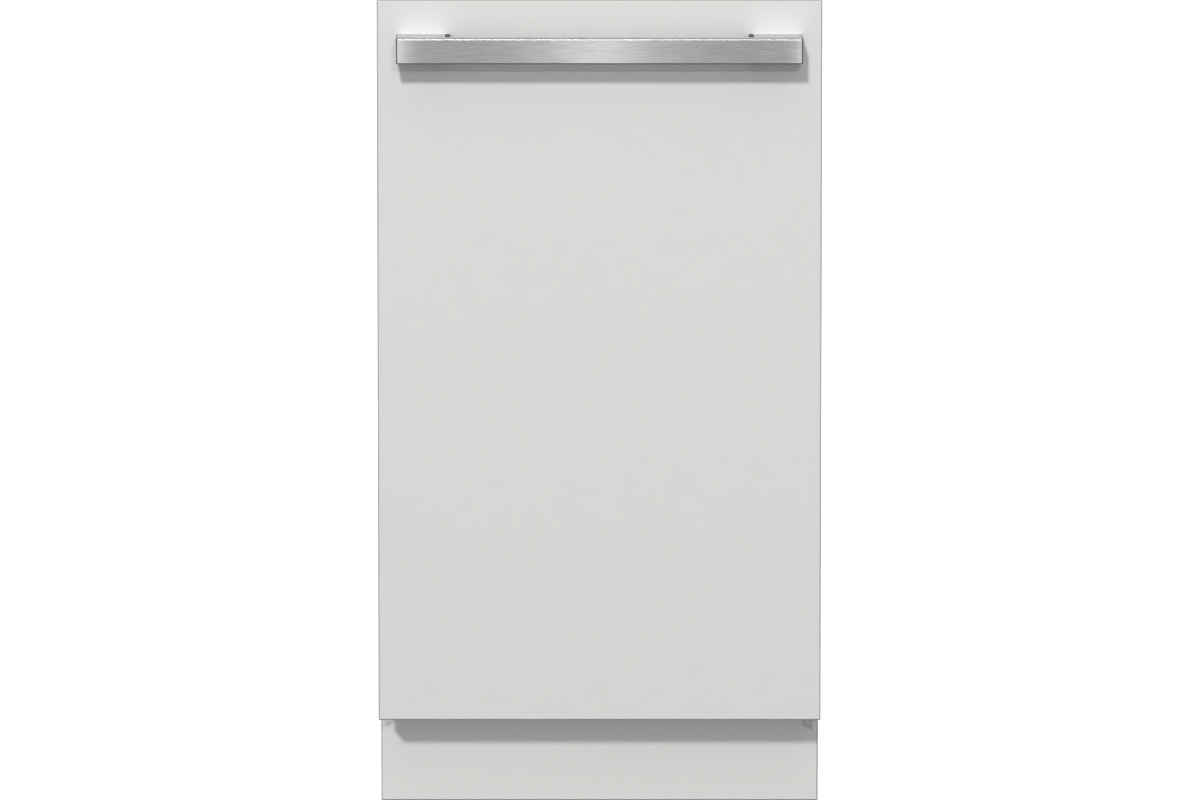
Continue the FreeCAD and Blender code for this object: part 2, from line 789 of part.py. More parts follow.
def filter_cylinder():
    """Twist-out filter cup with a grip."""
    lip_low = f"({FLOOR} - filter_seat + run_gap)"
    top = f"({lip_low} + filter_lip)"
    bottom = f"({FLOOR} - filter_deep)"
    wall = "(filter_radius - filter_wall)"
    profile = [
        ("0", bottom),
        ("filter_radius", bottom),
        ("filter_radius", lip_low),
        ("filter_radius + filter_lip", lip_low),
        ("filter_radius + filter_lip", top),
        (wall, top),
        (wall, f"{bottom} + filter_wall"),
        ("0", f"{bottom} + filter_wall"),
    ]
    grip_z = (f"{top} - filter_lip", f"{top} + filter_grip")
    grip_y = (f"{FILTER_Y} - filter_lip", f"{FILTER_Y} + filter_lip")
    return fuse(turned("Z", ("0", FILTER_Y), profile), box(wide("filter_radius"), grip_y, grip_z))


def pump_housing():
    """Hollow volute of the circulation pump, with its inlet from the sump and its outlet to the heater."""
    axis = (PUMP_Y, "pump_axis")
    outside = fuse(
        rod("X", axis, (PUMP_X, PUMP_END), "pump_radius"),
        rod("X", axis, ("sump_half", f"{PUMP_X} + pump_wall"), "pump_pipe"),
        rod("Y", (OUTLET_X, "pump_axis"), (PUMP_Y, OUTLET_END), "pump_outlet"),
    )
    inside = (f"{PUMP_X} + pump_wall", f"{PUMP_END} - pump_wall")
    return cut(
        outside,
        rod("X", axis, inside, "pump_radius - pump_wall"),
        rod("X", axis, ("sump_half - 1", f"{PUMP_X} + pump_gap"), "pump_pipe - pump_wall"),
        rod("Y", (OUTLET_X, "pump_axis"), (PUMP_Y, f"{OUTLET_END} + 1"), "pump_outlet - pump_wall"),
        rod("X", axis, (f"{PUMP_END} - 2 * pump_wall", f"{PUMP_END} + 1"), "shaft_radius + fit_gap"),
    )


def pump_motor():
    """Motor can behind the volute, bored for the shaft."""
    axis = (PUMP_Y, "pump_axis")
    can = rod("X", axis, (PUMP_END, f"{PUMP_END} + motor_long"), "motor_radius")
    bore_end = f"{PUMP_END} + shaft_bite + run_gap"
    return cut(can, rod("X", axis, (f"{PUMP_END} - 1", bore_end), "shaft_radius + pin_gap"))


def pump_impeller():
    """Vaned wheel and shaft inside the volute."""
    axis = (PUMP_Y, "pump_axis")
    disc_back = f"({PUMP_END} - pump_wall - impeller_thick)"
    disc_front = f"({disc_back} - impeller_thick)"
    vane_front = f"({disc_front} - impeller_vane)"
    hub = rod("X", axis, (vane_front, disc_front), "impeller_hub")
    disc = rod("X", axis, (disc_front, disc_back), "impeller_radius")
    shaft = rod("X", axis, (disc_front, f"{PUMP_END} + shaft_bite"), "shaft_radius")
    vanes = []
    for i in range(VANES):
        blade = rectangle(("0", "impeller_radius - impeller_thick"), wide("impeller_thick / 2"))
        vane = prism("YZ", (vane_front, disc_front), blade)
        turn = FreeCAD.Rotation(FreeCAD.Vector(1, 0, 0), 360 * i / VANES)
        vanes.append(put(vane, vane_front, PUMP_Y, "pump_axis", turn))
    return fuse(hub, disc, shaft, *vanes)


def water_heater():
    """Flow heater behind the pump, with the pipe that rises to the water feed."""
    can = rod("Y", (OUTLET_X, "pump_axis"), (OUTLET_END, f"{OUTLET_END} + heater_long"), "heater_radius")
    across = rod("X", (HEATER_PIPE_Y, "pump_axis"), ("0", OUTLET_X), "heater_pipe")
    elbow = ball("0", HEATER_PIPE_Y, "pump_axis", "heater_pipe")
    riser = rod("Z", ("0", HEATER_PIPE_Y), ("pump_axis", FLOOR_TOP), "heater_pipe")
    return fuse(can, across, elbow, riser)


def drain_pump():
    """Drain pump on the back of the sump."""
    y = (SUMP_BACK, f"{SUMP_BACK} + drain_long")
    can = rod("Y", ("drain_x", "drain_axis"), y, "drain_radius")
    spout = rod("Z", ("drain_x", HOSE_Y), ("drain_axis", "hose_axis - 2 * hose_radius"), "hose_radius")
    return fuse(can, spout)


def drain_pipe():
    """Drain line inside the base, ending in the spigot at the back."""
    rise = rod("Z", ("drain_x", HOSE_Y), ("hose_axis - 2 * hose_radius", "hose_axis"), "hose_radius")
    elbow = ball("drain_x", HOSE_Y, "hose_axis", "hose_radius")
    end = f"({BACK} - skin)"
    line = rod("Y", ("drain_x", "hose_axis"), (HOSE_Y, end), "hose_radius")
    spigot = rod("Y", ("drain_x", "hose_axis"), (f"{TRAY_BACK} + skin", end), "spigot_radius")
    bore = rod("Y", ("drain_x", "hose_axis"), (f"{end} - 2 * port_reach", f"{end} + 1"), "hose_bore")
    return cut(fuse(rise, elbow, line, spigot), bore)


def water_softener():
    """Salt tank under the tub floor, from outside its threaded neck to the side of the drain line."""
    x = (f"{NECK_X} - softener_wide / 2", "drain_x - spigot_radius - softener_room")
    tank = box(x, SOFTENER_Y, ("softener_bottom", FLOOR))
    neck = rod("Z", (NECK_X, NECK_Y), (f"{FLOOR} - sheet", NECK_TOP), "neck_radius")
    bore = rod("Z", (NECK_X, NECK_Y), (f"{FLOOR_TOP} - neck_deep", f"{NECK_TOP} + 1"), "neck_bore")
    return cut(fuse(tank, neck), bore)


def salt_cap():
    """Bayonet cap of the salt tank."""
    low = f"({NECK_TOP} + run_gap)"
    top = f"({low} + cap_high)"
    plug = "(neck_bore - run_gap)"
    plug_low = f"({low} - neck_deep / 2)"
    profile = [
        ("0", plug_low),
        (plug, plug_low),
        (plug, low),
        ("cap_radius", low),
        ("cap_radius", top),
        ("0", top),
    ]
    grip_x = (f"{NECK_X} - cap_radius + cap_grip", f"{NECK_X} + cap_radius - cap_grip")
    grip_y = (f"{NECK_Y} - cap_grip", f"{NECK_Y} + cap_grip")
    grip = box(grip_x, grip_y, (f"{top} - cap_high / 2", f"{top} + cap_grip"))
    return fuse(turned("Z", (NECK_X, NECK_Y), profile), grip)


def inlet_valve():
    """Water inlet valve with a 3/4 inch spigot through the tray's back wall."""
    wall = f"({TRAY_BACK} - tray_wall)"
    x = (f"{INLET_X} - valve_wide / 2", f"{INLET_X} + valve_wide / 2")
    z = ("inlet_axis - valve_high / 2", "inlet_axis + valve_high / 2")
    block = box(x, (f"{wall} - valve_long", wall), z)
    neck = rod("Y", (INLET_X, "inlet_axis"), (f"{wall} - 1", f"{BACK} - 2 * skin"), "inlet_neck")
    spigot = rod("Y", (INLET_X, "inlet_axis"), (f"{TRAY_BACK} + skin", f"{BACK} - skin"), "inlet_radius")
    return fuse(block, neck, spigot)


def mains_inlet():
    """Cable gland in the tray's back wall."""
    end = f"({BACK} - skin)"
    profile = [
        ("gland_bore", f"{TRAY_BACK} - 2 * tray_wall"),
        ("gland_radius", f"{TRAY_BACK} - 2 * tray_wall"),
        ("gland_radius", TRAY_BACK),
        ("gland_flange", TRAY_BACK),
        ("gland_flange", f"{TRAY_BACK} + gland_flange_thick"),
        ("gland_radius", f"{TRAY_BACK} + gland_flange_thick"),
        ("gland_radius", end),
        ("gland_bore", end),
    ]
    return turned("Y", ("gland_x", "gland_axis"), profile)


def feed_pipe():
    """Water feed: along the floor, up the back wall and under the roof to the top arm's stub."""
    half = wide("feed_wide / 2")
    behind = f"({TUB_BACK} - feed_thick)"
    floor_y = (f"{HEATER_PIPE_Y} - feed_wide / 2", TUB_BACK)
    floor_run = box(half, floor_y, (FLOOR_TOP, f"{FLOOR_TOP} + feed_flat"))
    riser = box(half, (behind, TUB_BACK), (FLOOR_TOP, ROOF))
    roof_run = box(half, (f"{ARM_Y} - feed_wide / 2", TUB_BACK), (f"{ROOF} - feed_flat", ROOF))
    nose_z = f"{DUCT_BOTTOM} + feed_flat / 2"
    nose = rod("Y", ("0", nose_z), (f"{behind} - feed_nose", behind), "feed_flat / 2")
    return fuse(floor_run, riser, roof_run, nose, *arm_stub(f"({ROOF} - feed_flat)"))


def arm_stub(high):
    """The stub and nut that carry a hanging spray arm under a pipe at a height."""
    low = f"({high} - arm_boss_high - arm_thickness - arm_nut_high - 2 * run_gap)"
    stub = rod("Z", ("0", ARM_Y), (low, high), "stub_radius")
    nut = rod("Z", ("0", ARM_Y), (low, f"{low} + arm_nut_high"), "arm_nut")
    return stub, nut


# Spray arms
def spray_arm(reach, blade_low, boss, bore, bore_radius):
    """A bladed arm: its blade's underside, the boss's height span, the bore's span and its radius."""
    corners = [
        (f"-{reach}", "-arm_tip"),
        ("-arm_boss", "-arm_half"),
        ("arm_boss", "-arm_half"),
        (reach, "-arm_tip"),
        (reach, "arm_tip"),
        ("arm_boss", "arm_half"),
        ("-arm_boss", "arm_half"),
        (f"-{reach}", "arm_tip"),
    ]
    blade = prism("XY", (blade_low, f"{blade_low} + arm_thickness"), corners)
    tip = number(reach) - 1
    soften(blade, "arm_round", lambda p, d: along_axis(d, "z") and abs(p.x) > tip)
    put(blade, "0", ARM_Y, blade_low)
    top = f"({blade_low} + arm_thickness)"
    holes = []
    for i in range(1, NOZZLES + 1):
        for side in (1, -1):
            x = f"{side} * {reach} * {i} / {NOZZLES + 1}"
            y = f"{ARM_Y} + {side} * arm_tip / 3"
            holes.append(rod("Z", (x, y), (f"{top} - nozzle_deep", f"{top} + 1"), "nozzle_radius"))
    whole = fuse(blade, rod("Z", ("0", ARM_Y), boss, "arm_boss"))
    return cut(whole, rod("Z", ("0", ARM_Y), bore, bore_radius), *holes)


def lower_spray_arm():
    """Arm that spins on the sump's hub."""
    boss = (f"{LOWER_ARM} - arm_boss_high", LOWER_ARM)
    bore = (f"{boss[0]} - 1", f"{HUB_TOP} + run_gap")
    return spray_arm(f"({TUB} - lower_clear)", LOWER_ARM, boss, bore, "hub_radius + pin_gap")


def hanging_arm(reach, high):
    """Arm that hangs from a stub under a pipe at a height."""
    low = f"({high} - run_gap - arm_boss_high - arm_thickness)"
    boss = (f"{low} + arm_thickness", f"{high} - run_gap")
    return spray_arm(reach, low, boss, (f"{low} - 1", f"{high} + 1"), "stub_radius + pin_gap")


def middle_spray_arm():
    """Arm under the upper rack."""
    return hanging_arm(f"({TUB} - middle_clear)", DUCT_BOTTOM)


def top_spray_arm():
    """Arm under the tub's roof."""
    return hanging_arm(f"({TUB} - top_clear)", f"({ROOF} - feed_flat)")


# Hinges and springs
def hinge_brackets():
    """Steel plates on the tray that reach forward to the door's pins."""
    x = (BRACKET_IN, BRACKET_OUT)
    foot_y = (f"{TUB_FRONT} + tray_wall", f"{TUB_FRONT} + tray_wall + bracket_foot")
    strap = box(x, (HINGE_Y, foot_y[1]), (f"{HINGE_Z} - hinge_strap", f"{HINGE_Z} + hinge_strap"))
    foot = box(x, foot_y, ("base_lift + tray_wall", f"{HINGE_Z} + hinge_strap"))
    lobe = rod("X", (HINGE_Y, HINGE_Z), x, "hinge_lobe")
    hole = rod("X", (HINGE_Y, HINGE_Z), (f"{BRACKET_IN} - 1", f"{BRACKET_OUT} + 1"), "hinge_pin")
    return pair(cut(fuse(strap, foot, lobe), hole))


def hinge_pins():
    """Pins riveted into the brackets, on which the door's arms turn."""
    axis = (HINGE_Y, HINGE_Z)
    shank = rod("X", axis, (BRACKET_IN, f"{ARM_OUT} + run_gap"), "hinge_pin")
    head = rod("X", axis, (f"{BRACKET_IN} - hinge_pin / 2", BRACKET_IN), "hinge_pin * 1.5")
    return pair(fuse(shank, head))


def door_springs():
    """Balance springs between the tray's posts and straps to the door's levers."""
    span = (SPRING_Y, f"{SPRING_Y} + spring_length")
    axis = (SPRING_X, HINGE_Z)
    spring = cut(rod("Y", axis, span, "spring_radius"), rod("Y", axis, span, "spring_radius / 2"))
    strap_x = (f"{ARM_OUT} + fit_gap", f"{ARM_OUT} + fit_gap + strap_thick")
    strap_y = (f"{HINGE_Y} + arm_lever / 2", SPRING_Y)
    strap = box(strap_x, strap_y, LEVER_Z)
    return group(spring, strap, mirror(spring), mirror(strap))


def hinge_arms():
    """Steel arms inside the door's sides, bored for the pins, with levers for the springs."""
    x = (ARM_IN, ARM_OUT)
    lobe = rod("X", (HINGE_Y, HINGE_Z), x, "arm_lobe")
    upright = box(x, (f"{HINGE_Y} - arm_lobe", f"{HINGE_Y} + arm_lobe"), (HINGE_Z, f"{HINGE_Z} + arm_rise"))
    lever = box(x, (HINGE_Y, f"{HINGE_Y} + arm_lever"), LEVER_Z)
    hole = rod("X", (HINGE_Y, HINGE_Z), (f"{ARM_IN} - 1", f"{ARM_OUT} + 1"), "hinge_pin + pin_gap")
    return pair(cut(fuse(lobe, upright, lever), hole))


# Door
def front_panel():
    """Lacquered furniture front with softened edges and blind holes for its fixings."""
    body = prism("XZ", (PANEL_FRONT, PLANE), rectangle(wide(HALF), (PANEL_BOTTOM, PANEL_TOP)))
    front = number("-panel_thick")
    soften(body, "panel_edge", lambda p, d: abs(p.y - front) < 0.01)
    through = (f"{PANEL_FRONT} - 1", f"{PLANE} + 1")
    bore = rod("Y", (SCREW_X, SCREW_Z), through, "screw_shank + fit_gap")
    sink = (f"{PLANE} - screw_head_high - run_gap", f"{PLANE} + 1")
    pocket = rod("Y", (SCREW_X, SCREW_Z), sink, "screw_head + run_gap")
    pilots = []
    for place in fixing_places():
        pilots.append(rod("Y", place, (f"{PLANE} - screw_bite", f"{PLANE} + 1"), "screw_shank"))
    return cut(body, bore, mirror(bore), pocket, mirror(pocket), *pilots, *(mirror(p) for p in pilots))


def fixing_places():
    """Where screws hold the furniture front on the door's right half."""
    x = f"({DOOR_SIDE} - fixing_inset)"
    return [(x, f"{PANEL_BOTTOM} + fixing_low"), (x, f"{PANEL_BOTTOM} + fixing_high")]


def handle():
    """Steel bow handle: a flat bar on two feet, with rounded inner bends."""
    end = "(handle_length / 2)"
    foot = f"({end} - handle_foot)"
    bar_back = f"({HANDLE_FRONT} + handle_bar)"
    corners = [
        (f"-{end}", HANDLE_FRONT),
        (end, HANDLE_FRONT),
        (end, PANEL_FRONT),
        (foot, PANEL_FRONT),
        (foot, bar_back),
        (f"-{foot}", bar_back),
        (f"-{foot}", PANEL_FRONT),
        (f"-{end}", PANEL_FRONT),
    ]
    body = prism("XY", (HANDLE_BOTTOM, HANDLE_TOP), corners)
    back = number(bar_back)
    inner = number(foot)
    front = number(HANDLE_FRONT)
    outer = number(end)

    def bend(point, direction):
        return along_axis(direction, "z") and abs(point.y - back) < 0.01 and abs(abs(point.x) - inner) < 0.01

    def rim(point, direction):
        at_front = abs(point.y - front) < 0.01
        at_end = abs(abs(point.x) - outer) < 0.01
        return at_front or (at_end and along_axis(direction, "y"))

    soften(body, "handle_bend", bend)
    soften(body, "handle_edge", rim)
    hole = rod("Y", (SCREW_X, SCREW_Z), (f"{PANEL_FRONT} - screw_bite", f"{PANEL_FRONT} + 1"), "screw_shank")
    return cut(body, hole, mirror(hole))


def screw(centre, head_back, shank_front):
    """A screw along Y: its head ends at head_back and its shank at shank_front."""
    head = f"({head_back} - screw_head_high)"
    profile = [
        ("0", shank_front),
        ("screw_shank", shank_front),
        ("screw_shank", head),
        ("screw_head", head),
        ("screw_head", head_back),
        ("0", head_back),
    ]
    return turned("Y", centre, profile)


def front_screws():
    """Screws that hold the handle and the furniture front, put in from the door's inside."""
    right = [screw((SCREW_X, SCREW_Z), f"({PLANE} - run_gap)", f"{PANEL_FRONT} - screw_bite")]
    for place in fixing_places():
        right.append(screw(place, f"({PLANE} + skin + screw_head_high)", f"{PLANE} - screw_bite"))
    return group(*right, *(mirror(piece) for piece in right))


def door_outer_sheet():
    """Steel outer shell of the door, behind the furniture front."""
    z = (DOOR_BOTTOM, CONTROL_BOTTOM)
    plate = box(wide(DOOR_SIDE), (PLANE, f"{PLANE} + door_flange"), z)
    inside_x = wide(f"{DOOR_SIDE} - skin")
    inside = box(inside_x, (f"{PLANE} + skin", f"{PLANE} + door_flange + 1"), (f"{z[0]} - 1", f"{z[1]} + 1"))
    through = (f"{PLANE} - 1", f"{PLANE} + 2 * skin")
    holes = [rod("Y", place, through, "screw_shank + fit_gap") for place in fixing_places()]
    return cut(plate, inside, *holes, *(mirror(hole) for hole in holes))


def door_liner():
    """Steel inner face of the door, with flanges and the dispenser's opening."""
    side = f"({ARM_IN})"
    low = f"({DOOR_BOTTOM} + liner_lip)"
    top = f"({CONTROL_BOTTOM} + liner_rise)"
    plate = box(wide(side), (f"{LINER} - sheet", LINER), (low, top))
    flange_y = (f"{LINER} - door_flange", LINER)
    flange = box((f"{side} - sheet", side), flange_y, (low, f"{CONTROL_BOTTOM} - fit_gap"))
    opening_x = wide("dispenser_wide / 2 - dispenser_rim")
    opening_z = (f"{DISPENSER_LOW} + dispenser_rim", f"{DISPENSER_LOW} + dispenser_high - dispenser_rim")
    opening = box(opening_x, (f"{LINER} - 2 * sheet", f"{LINER} + 1"), opening_z)
    return cut(fuse(plate, flange, mirror(flange)), opening)


def control_panel():
    """Plastic top of the door with openings for keys, display and lock."""
    y = (PLANE, CONTROL_BACK)
    inner_y = (f"{y[0]} + control_wall", f"{y[1]} - control_wall")
    shell = cut(
        box(wide(DOOR_SIDE), y, (CONTROL_BOTTOM, DOOR_TOP)),
        box(wide(f"{DOOR_SIDE} - control_wall"), inner_y, (f"{CONTROL_BOTTOM} - 1", CONTROL_ROOF)),
    )
    top_z = (f"{CONTROL_ROOF} - 1", f"{DOOR_TOP} + 1")
    holes = [key_block(x, "fit_gap", top_z) for x in (POWER_X, PROGRAM_X, START_X)]
    holes.append(block_on_top("0", "display_long", "display_deep", "fit_gap", top_z))
    strike_x = wide("strike_wide / 2 + strike_room")
    holes.append(box(strike_x, (f"{inner_y[1]} - 1", f"{y[1]} + 1"), strike_slot()))
    return cut(shell, *holes)


def strike_slot():
    """The height that the strike's tongue needs as the door swings."""
    low = f"({COVER} + strike_drop - strike_thick - strike_room)"
    return (low, CONTROL_ROOF)


def block_on_top(x, long, deep, grow, z):
    """A block centred on the control panel's top, grown all round."""
    half_x = f"({long} / 2 + {grow})"
    half_y = f"({deep} / 2 + {grow})"
    y = (f"{CONTROL_MID} - {half_y}", f"{CONTROL_MID} + {half_y}")
    return box((f"{x} - {half_x}", f"{x} + {half_x}"), y, z)


def key_block(x, grow, z):
    """A block the size of a key, grown all round."""
    return block_on_top(x, "button_long", "button_deep", grow, z)


def display_window():
    """Clear window in the control panel's top."""
    return block_on_top("0", "display_long", "display_deep", "0", (CONTROL_ROOF, DOOR_TOP))


def control_board():
    """Circuit board across the control panel."""
    top = f"({CONTROL_ROOF} - board_drop)"
    y = (f"{PLANE} + control_wall", f"{CONTROL_BACK} - control_wall")
    return box(wide(f"{DOOR_SIDE} - control_wall"), y, (f"{top} - board_thick", top))


def key(x):
    """A key with a lip under the panel and a stem down to the board."""
    lip_top = f"({CONTROL_ROOF} - run_gap)"
    cap = key_block(x, "0", (f"{lip_top} - button_lip", f"{DOOR_TOP} + button_proud"))
    lip = key_block(x, "button_lip", (f"{lip_top} - button_lip", lip_top))
    stem_low = f"({CONTROL_ROOF} - board_drop + button_travel + run_gap)"
    stem = rod("Z", (x, CONTROL_MID), (stem_low, f"{lip_top} - button_lip / 2"), "button_stem")
    return fuse(cap, lip, stem)


def power_button():
    """On and off key."""
    return key(POWER_X)


def program_button():
    """Programme key."""
    return key(PROGRAM_X)


def start_button():
    """Start key."""
    return key(START_X)


def door_lock():
    """Lock box behind the control panel's back wall, open to the strike."""
    y = (f"{CONTROL_BACK} - control_wall - lock_deep", f"{CONTROL_BACK} - control_wall")
    block = box(wide("lock_wide / 2"), y, (f"{CONTROL_ROOF} - lock_high", CONTROL_ROOF))
    mouth_y = (f"{FRAME} - strike_reach - strike_room", f"{y[1]} + 1")
    low, top = strike_slot()
    mouth = box(wide("strike_wide / 2 + strike_room"), mouth_y, (low, f"{top} + 1"))
    return cut(block, mouth)


def latch_strike():
    """Strike on the cover's front flange, whose tongue enters the door lock."""
    plate = box(wide("strike_wide"), (f"{FRAME} - sheet", FRAME), (f"{COVER} + skin", "height - skin"))
    tongue_z = (f"{COVER} + strike_drop - strike_thick", f"{COVER} + strike_drop")
    return fuse(plate, box(wide("strike_wide / 2"), (f"{FRAME} - strike_reach", FRAME), tongue_z))


def dispenser_housing():
    """Detergent dispenser let into the liner, with its chamber, lid guides and rinse-aid port."""
    half = "dispenser_wide / 2"
    top = f"({DISPENSER_LOW} + dispenser_high)"
    lip = box(wide(half), (LINER, DISPENSER_FACE), (DISPENSER_LOW, top))
    inset = "(dispenser_rim + fit_gap)"
    body_z = (f"{DISPENSER_LOW} + {inset}", f"{top} - {inset}")
    body = box(wide(f"{half} - {inset}"), (f"{LINER} - dispenser_deep", LINER), body_z)
    guide_y = (DISPENSER_FACE, f"{DISPENSER_FACE} + lid_thick + run_gap")
    guide_z = (LID_LOW, f"{LID_LOW} + lid_high + lid_travel")
    left = f"({LID_LEFT} - run_gap)"
    right = f"({LID_LEFT} + lid_wide + run_gap)"
    guides = [
        box((f"{left} - lid_guide", left), guide_y, guide_z),
        box((right, f"{right} + lid_guide"), guide_y, guide_z),
    ]
    chamber_x = (f"{LID_LEFT} + chamber_rim", f"{LID_LEFT} + lid_wide - chamber_rim")
    chamber_z = (f"{LID_LOW} + chamber_rim", f"{LID_LOW} + lid_high - chamber_rim")
    chamber = box(chamber_x, (f"{DISPENSER_FACE} - chamber_deep", f"{DISPENSER_FACE} + 1"), chamber_z)
    port_y = (f"{DISPENSER_FACE} - chamber_deep", f"{DISPENSER_FACE} + 1")
    port = rod("Y", ("rinse_x", RINSE_Z), port_y, "rinse_plug + run_gap")
    return cut(fuse(lip, body, *guides), chamber, port)


def dispenser_lid():
    """Sliding lid of the detergent chamber, with a finger rib."""
    x = (LID_LEFT, f"{LID_LEFT} + lid_wide")
    low = f"({DISPENSER_FACE} + run_gap)"
    plate = box(x, (low, f"{low} + lid_thick"), (LID_LOW, f"{LID_LOW} + lid_high"))
    rib_z = (f"{LID_LOW} + chamber_rim", f"{LID_LOW} + chamber_rim + lid_guide")
    rib = box((f"{x[0]} + lid_inset", f"{x[1]} - lid_inset"), (low, f"{low} + 2 * lid_thick"), rib_z)
    return fuse(plate, rib)


def rinse_aid_cap():
    """Quarter-turn cap of the rinse-aid tank."""
    low = f"({DISPENSER_FACE} + run_gap)"
    plug_low = f"({DISPENSER_FACE} - rinse_plug)"
    top = f"({low} + rinse_high)"
    profile = [
        ("0", plug_low),
        ("rinse_plug", plug_low),
        ("rinse_plug", low),
        ("rinse_radius", low),
        ("rinse_radius", f"{top} - lid_guide"),
        ("rinse_radius - lid_guide", top),
        ("0", top),
    ]
    return turned("Y", ("rinse_x", RINSE_Z), profile)


# Rails and racks
def channel(x_out, height, wall, z):
    """A channel on the right that opens towards the middle, from the tub's wall side at x_out."""
    y = (RACK_FRONT, RACK_BACK)
    outer = box((f"{TUB} - rail_deep", x_out), y, (f"{z} - {height} / 2", f"{z} + {height} / 2"))
    inside_z = (f"{z} - {height} / 2 + {wall}", f"{z} + {height} / 2 - {wall}")
    inside = box((f"{TUB} - rail_deep - 1", f"{x_out} - rail_wall"), (f"{y[0]} - 1", f"{y[1]} + 1"), inside_z)
    return cut(outer, inside)


def rack_rails():
    """Fixed rails on the tub's walls for the upper rack and the cutlery tray."""
    upper = channel(TUB, "rail_high", "rail_wall", RAIL_Z)
    tray = channel(TUB, "tray_rail_high", "(tray_rail_high - tray_slot) / 2", TRAY_RAIL)
    return group(upper, mirror(upper), tray, mirror(tray))


def rail_slides():
    """Middle members of the upper rack's telescopic rails."""
    return pair(channel(SLIDE_OUT, "(rail_high - 2 * rail_wall - 2 * run_gap)", "rail_wall", RAIL_Z))


def walls(half, floor, top, front_top):
    """The four upright grids of a rack."""
    z = (f"{floor} + rack_wire", top)
    side = net("YZ", (f"{half} - rack_wire", half), RACK_Y, z, "rack_mesh")
    other = net("YZ", (f"-{half}", f"-{half} + rack_wire"), RACK_Y, z, "rack_mesh")
    inner_x = wide(f"{half} - rack_wire")
    front_y = (RACK_FRONT, RACK_INNER_Y[0])
    front = net("XZ", front_y, inner_x, (f"{floor} + rack_wire", front_top), "rack_mesh")
    rear = net("XZ", (RACK_INNER_Y[1], RACK_BACK), inner_x, z, "rack_mesh")
    return [side, other, front, rear]


def tines(half, deck, high, rows, each):
    """Rows of upright pegs on a rack's floor, each row along the depth."""
    pegs = []
    for row in range(rows):
        x = f"{half} * {2 * row - rows + 1} / {rows + 1}"
        for i in range(each):
            share = (i + 1) / (each + 1)
            y = f"{RACK_FRONT} + ({RACK_BACK} - {RACK_FRONT}) * {share:.4f}"
            pegs.append(rod("Z", (x, y), (deck, f"{deck} + {high}"), "tine_radius"))
    return pegs


def tine_bars(half, floor, rows):
    """Wires on the floor grid, one under each row of pegs."""
    bars = []
    for row in range(rows):
        x = f"({half} * {2 * row - rows + 1} / {rows + 1})"
        span_x = (f"{x} - tine_radius", f"{x} + tine_radius")
        bars.append(box(span_x, RACK_INNER_Y, (f"{floor} + rack_wire", f"{floor} + 2 * rack_wire")))
    return bars


def upper_rack():
    """Upper wire rack with runners for the telescopic rails."""
    floor = net("XY", (UPPER_FLOOR, UPPER_DECK), wide(UPPER_HALF), RACK_Y, "rack_mesh")
    runner_half = "(rail_high / 2 - 2 * rail_wall - 2 * run_gap)"
    runner_z = (f"{RAIL_Z} - {runner_half}", f"{RAIL_Z} + {runner_half}")
    runner = box((UPPER_HALF, RUNNER_OUT), RACK_Y, runner_z)
    bars = tine_bars(UPPER_HALF, UPPER_FLOOR, UPPER_ROWS)
    deck = f"({UPPER_DECK} + rack_wire)"
    pegs = tines(UPPER_HALF, deck, "upper_tine", UPPER_ROWS, UPPER_PEGS)
    sides = walls(UPPER_HALF, UPPER_FLOOR, UPPER_TOP, UPPER_TOP)
    return group(floor, *bars, *sides, runner, mirror(runner), *pegs)


def upper_rack_duct():
    """Flat duct under the upper rack that takes water from the feed pipe to the middle arm."""
    rear = f"({TUB_BACK} - feed_thick - feed_nose - run_gap)"
    run = box(wide("feed_flat"), (f"{ARM_Y} - arm_nut", rear), (DUCT_BOTTOM, UPPER_FLOOR))
    return fuse(run, *arm_stub(DUCT_BOTTOM))


def cup_shelf():
    """Fold-up shelf for cups on the upper rack's left side."""
    y = (f"{RACK_FRONT} + shelf_inset", f"{RACK_BACK} - shelf_inset")
    hinge = rod("Y", (SHELF_X, SHELF_Z), y, "shelf_rod")
    plate_x = (f"{SHELF_X} + shelf_rod", f"{SHELF_X} + shelf_wide")
    plate_z = (f"{SHELF_Z} - rack_wire / 2", f"{SHELF_Z} + rack_wire / 2")
    return group(hinge, net("XY", plate_z, plate_x, y, "rack_mesh"))


def cutlery_tray():
    """Shallow top tray with a slotted floor and edges that run in the rails."""
    floor = net("XY", (TRAY_FLOOR, f"{TRAY_FLOOR} + rack_wire"), wide(TRAY_HALF), RACK_Y, "tray_mesh")
    z = (f"{TRAY_FLOOR} + rack_wire", TRAY_TOP)
    side = box((f"{TRAY_HALF} - rack_wire", TRAY_HALF), RACK_Y, z)
    inner = wide(f"{TRAY_HALF} - rack_wire")
    front = box(inner, (RACK_FRONT, RACK_INNER_Y[0]), z)
    rear = box(inner, (RACK_INNER_Y[1], RACK_BACK), z)
    edge_low = f"({TRAY_RAIL} - tray_slot / 2 + run_gap)"
    edge_x = (TRAY_HALF, f"{TUB} - rail_wall - run_gap")
    edge = box(edge_x, RACK_Y, (edge_low, f"{edge_low} + tray_edge"))
    return group(floor, side, mirror(side), front, rear, edge, mirror(edge))


def hanger(y):
    """A wheel's hanger on the right of the lower rack, with its axle."""
    plate_x = (LOWER_HALF, f"{WHEEL_IN} - run_gap")
    plate_y = (f"{y} - hanger_wide / 2", f"{y} + hanger_wide / 2")
    plate = box(plate_x, plate_y, (f"{AXLE_Z} - 2 * axle_radius", f"{LOWER_DECK} + hanger_wide"))
    return fuse(plate, rod("X", (y, AXLE_Z), (LOWER_HALF, WHEEL_OUT), "axle_radius"))


